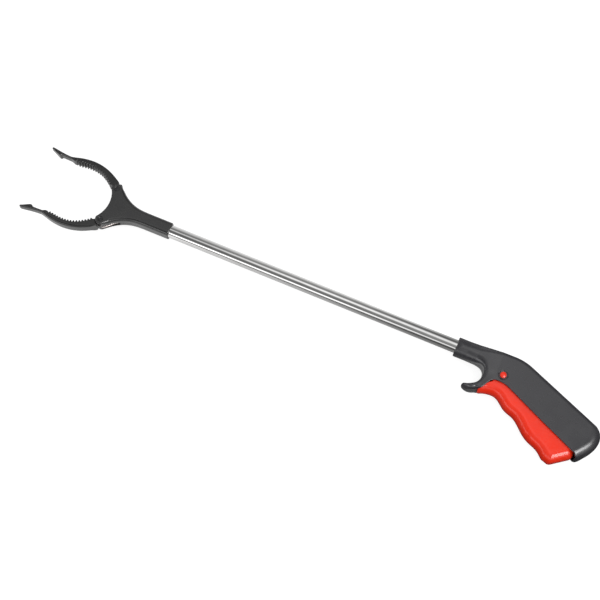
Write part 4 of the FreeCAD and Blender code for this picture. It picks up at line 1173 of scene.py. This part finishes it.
def light_world():
    """An even tent for the body colours, and strips of light along the shaft in reflections."""
    world = bpy.data.worlds.new("studio")
    bpy.context.scene.world = world
    world.use_nodes = True
    world.cycles.sampling_method = "NONE"
    g = Graph(world.node_tree)
    direction = g.node("SeparateXYZ", {"Vector": g.node("TexCoord").outputs["Generated"]}).outputs
    x, y, z = direction["X"], direction["Y"], direction["Z"]
    degrees = g.times(g.calc("ARCTAN2", g.times(y, -1.0), z), 180.0 / math.pi)
    turn = g.calc("ADD", g.calc("DIVIDE", degrees, 360.0), 0.5, clamp=True)
    columns = [(at, g.curve(turn, [((angle + 180.0) / 360.0, value) for angle, value in table]))
               for at, table in STRIPS]
    strips = columns[0][1]
    for (start, _), (end, level) in zip(columns, columns[1:]):
        strips = g.blend(g.fade(x, over=(start, end)), strips, level)
    lean_x, lean_y, lean_z = TENT_LEAN
    lean = g.add(g.times(z, lean_z), g.add(g.times(x, lean_x), g.times(y, lean_y)))
    tent = g.add(TENT_BASE, g.times(TENT_GAIN, g.calc("MAXIMUM", 0.0, lean)))
    glossy = g.node("LightPath").outputs["Is Glossy Ray"]
    background = g.tree.nodes["Background"]
    g.put(g.blend(glossy, tent, strips), background.inputs["Strength"])
    background.inputs["Color"].default_value = (1, 1, 1, 1)


def add_key_light(direction, distance, width, height, radiance):
    """Softbox aimed at the middle of the piece; it leaves diffuse light alone."""
    light = bpy.data.lights.new("key_softbox", "AREA")
    light.shape = "RECTANGLE"
    light.size, light.size_y = width, height
    light.energy = radiance * math.pi * width * height
    obj = bpy.data.objects.new("key_softbox", light)
    bpy.context.scene.collection.objects.link(obj)
    toward = Vector(direction).normalized()
    obj.location = (CAD_LO + CAD_HI) / 2 + toward * distance
    obj.rotation_euler = toward.to_track_quat("Z", "Y").to_euler()
    obj.visible_diffuse = False


def add_camera(turn, elevation, distance, lens):
    """Camera above the table, turned from the fingers' side (-y) towards the handle (+x)."""
    turn, elevation = math.radians(turn), math.radians(elevation)
    back = Vector((math.sin(turn) * math.cos(elevation), -math.cos(turn) * math.cos(elevation),
                   math.sin(elevation)))
    data = bpy.data.cameras.new("cam")
    camera = bpy.data.objects.new("cam", data)
    bpy.context.scene.collection.objects.link(camera)
    camera.location = Vector(row((0.0, -15.8, 0.0))) + back * distance
    camera.rotation_euler = (-back).to_track_quat("-Z", "Y").to_euler()
    data.sensor_width = 36.0
    data.lens = lens
    data.clip_start, data.clip_end = 0.01, 50.0
    bpy.context.scene.camera = camera


lay_floor()
light_world()
add_key_light(direction=(0.64, -0.27, 0.75), distance=2.4, width=1.45, height=1.35, radiance=8.5)
add_camera(turn=23.5, elevation=69.0, distance=1.100, lens=67.902)
bpy.context.scene.view_settings.view_transform = "Standard"
bpy.context.scene.view_settings.look = "None"
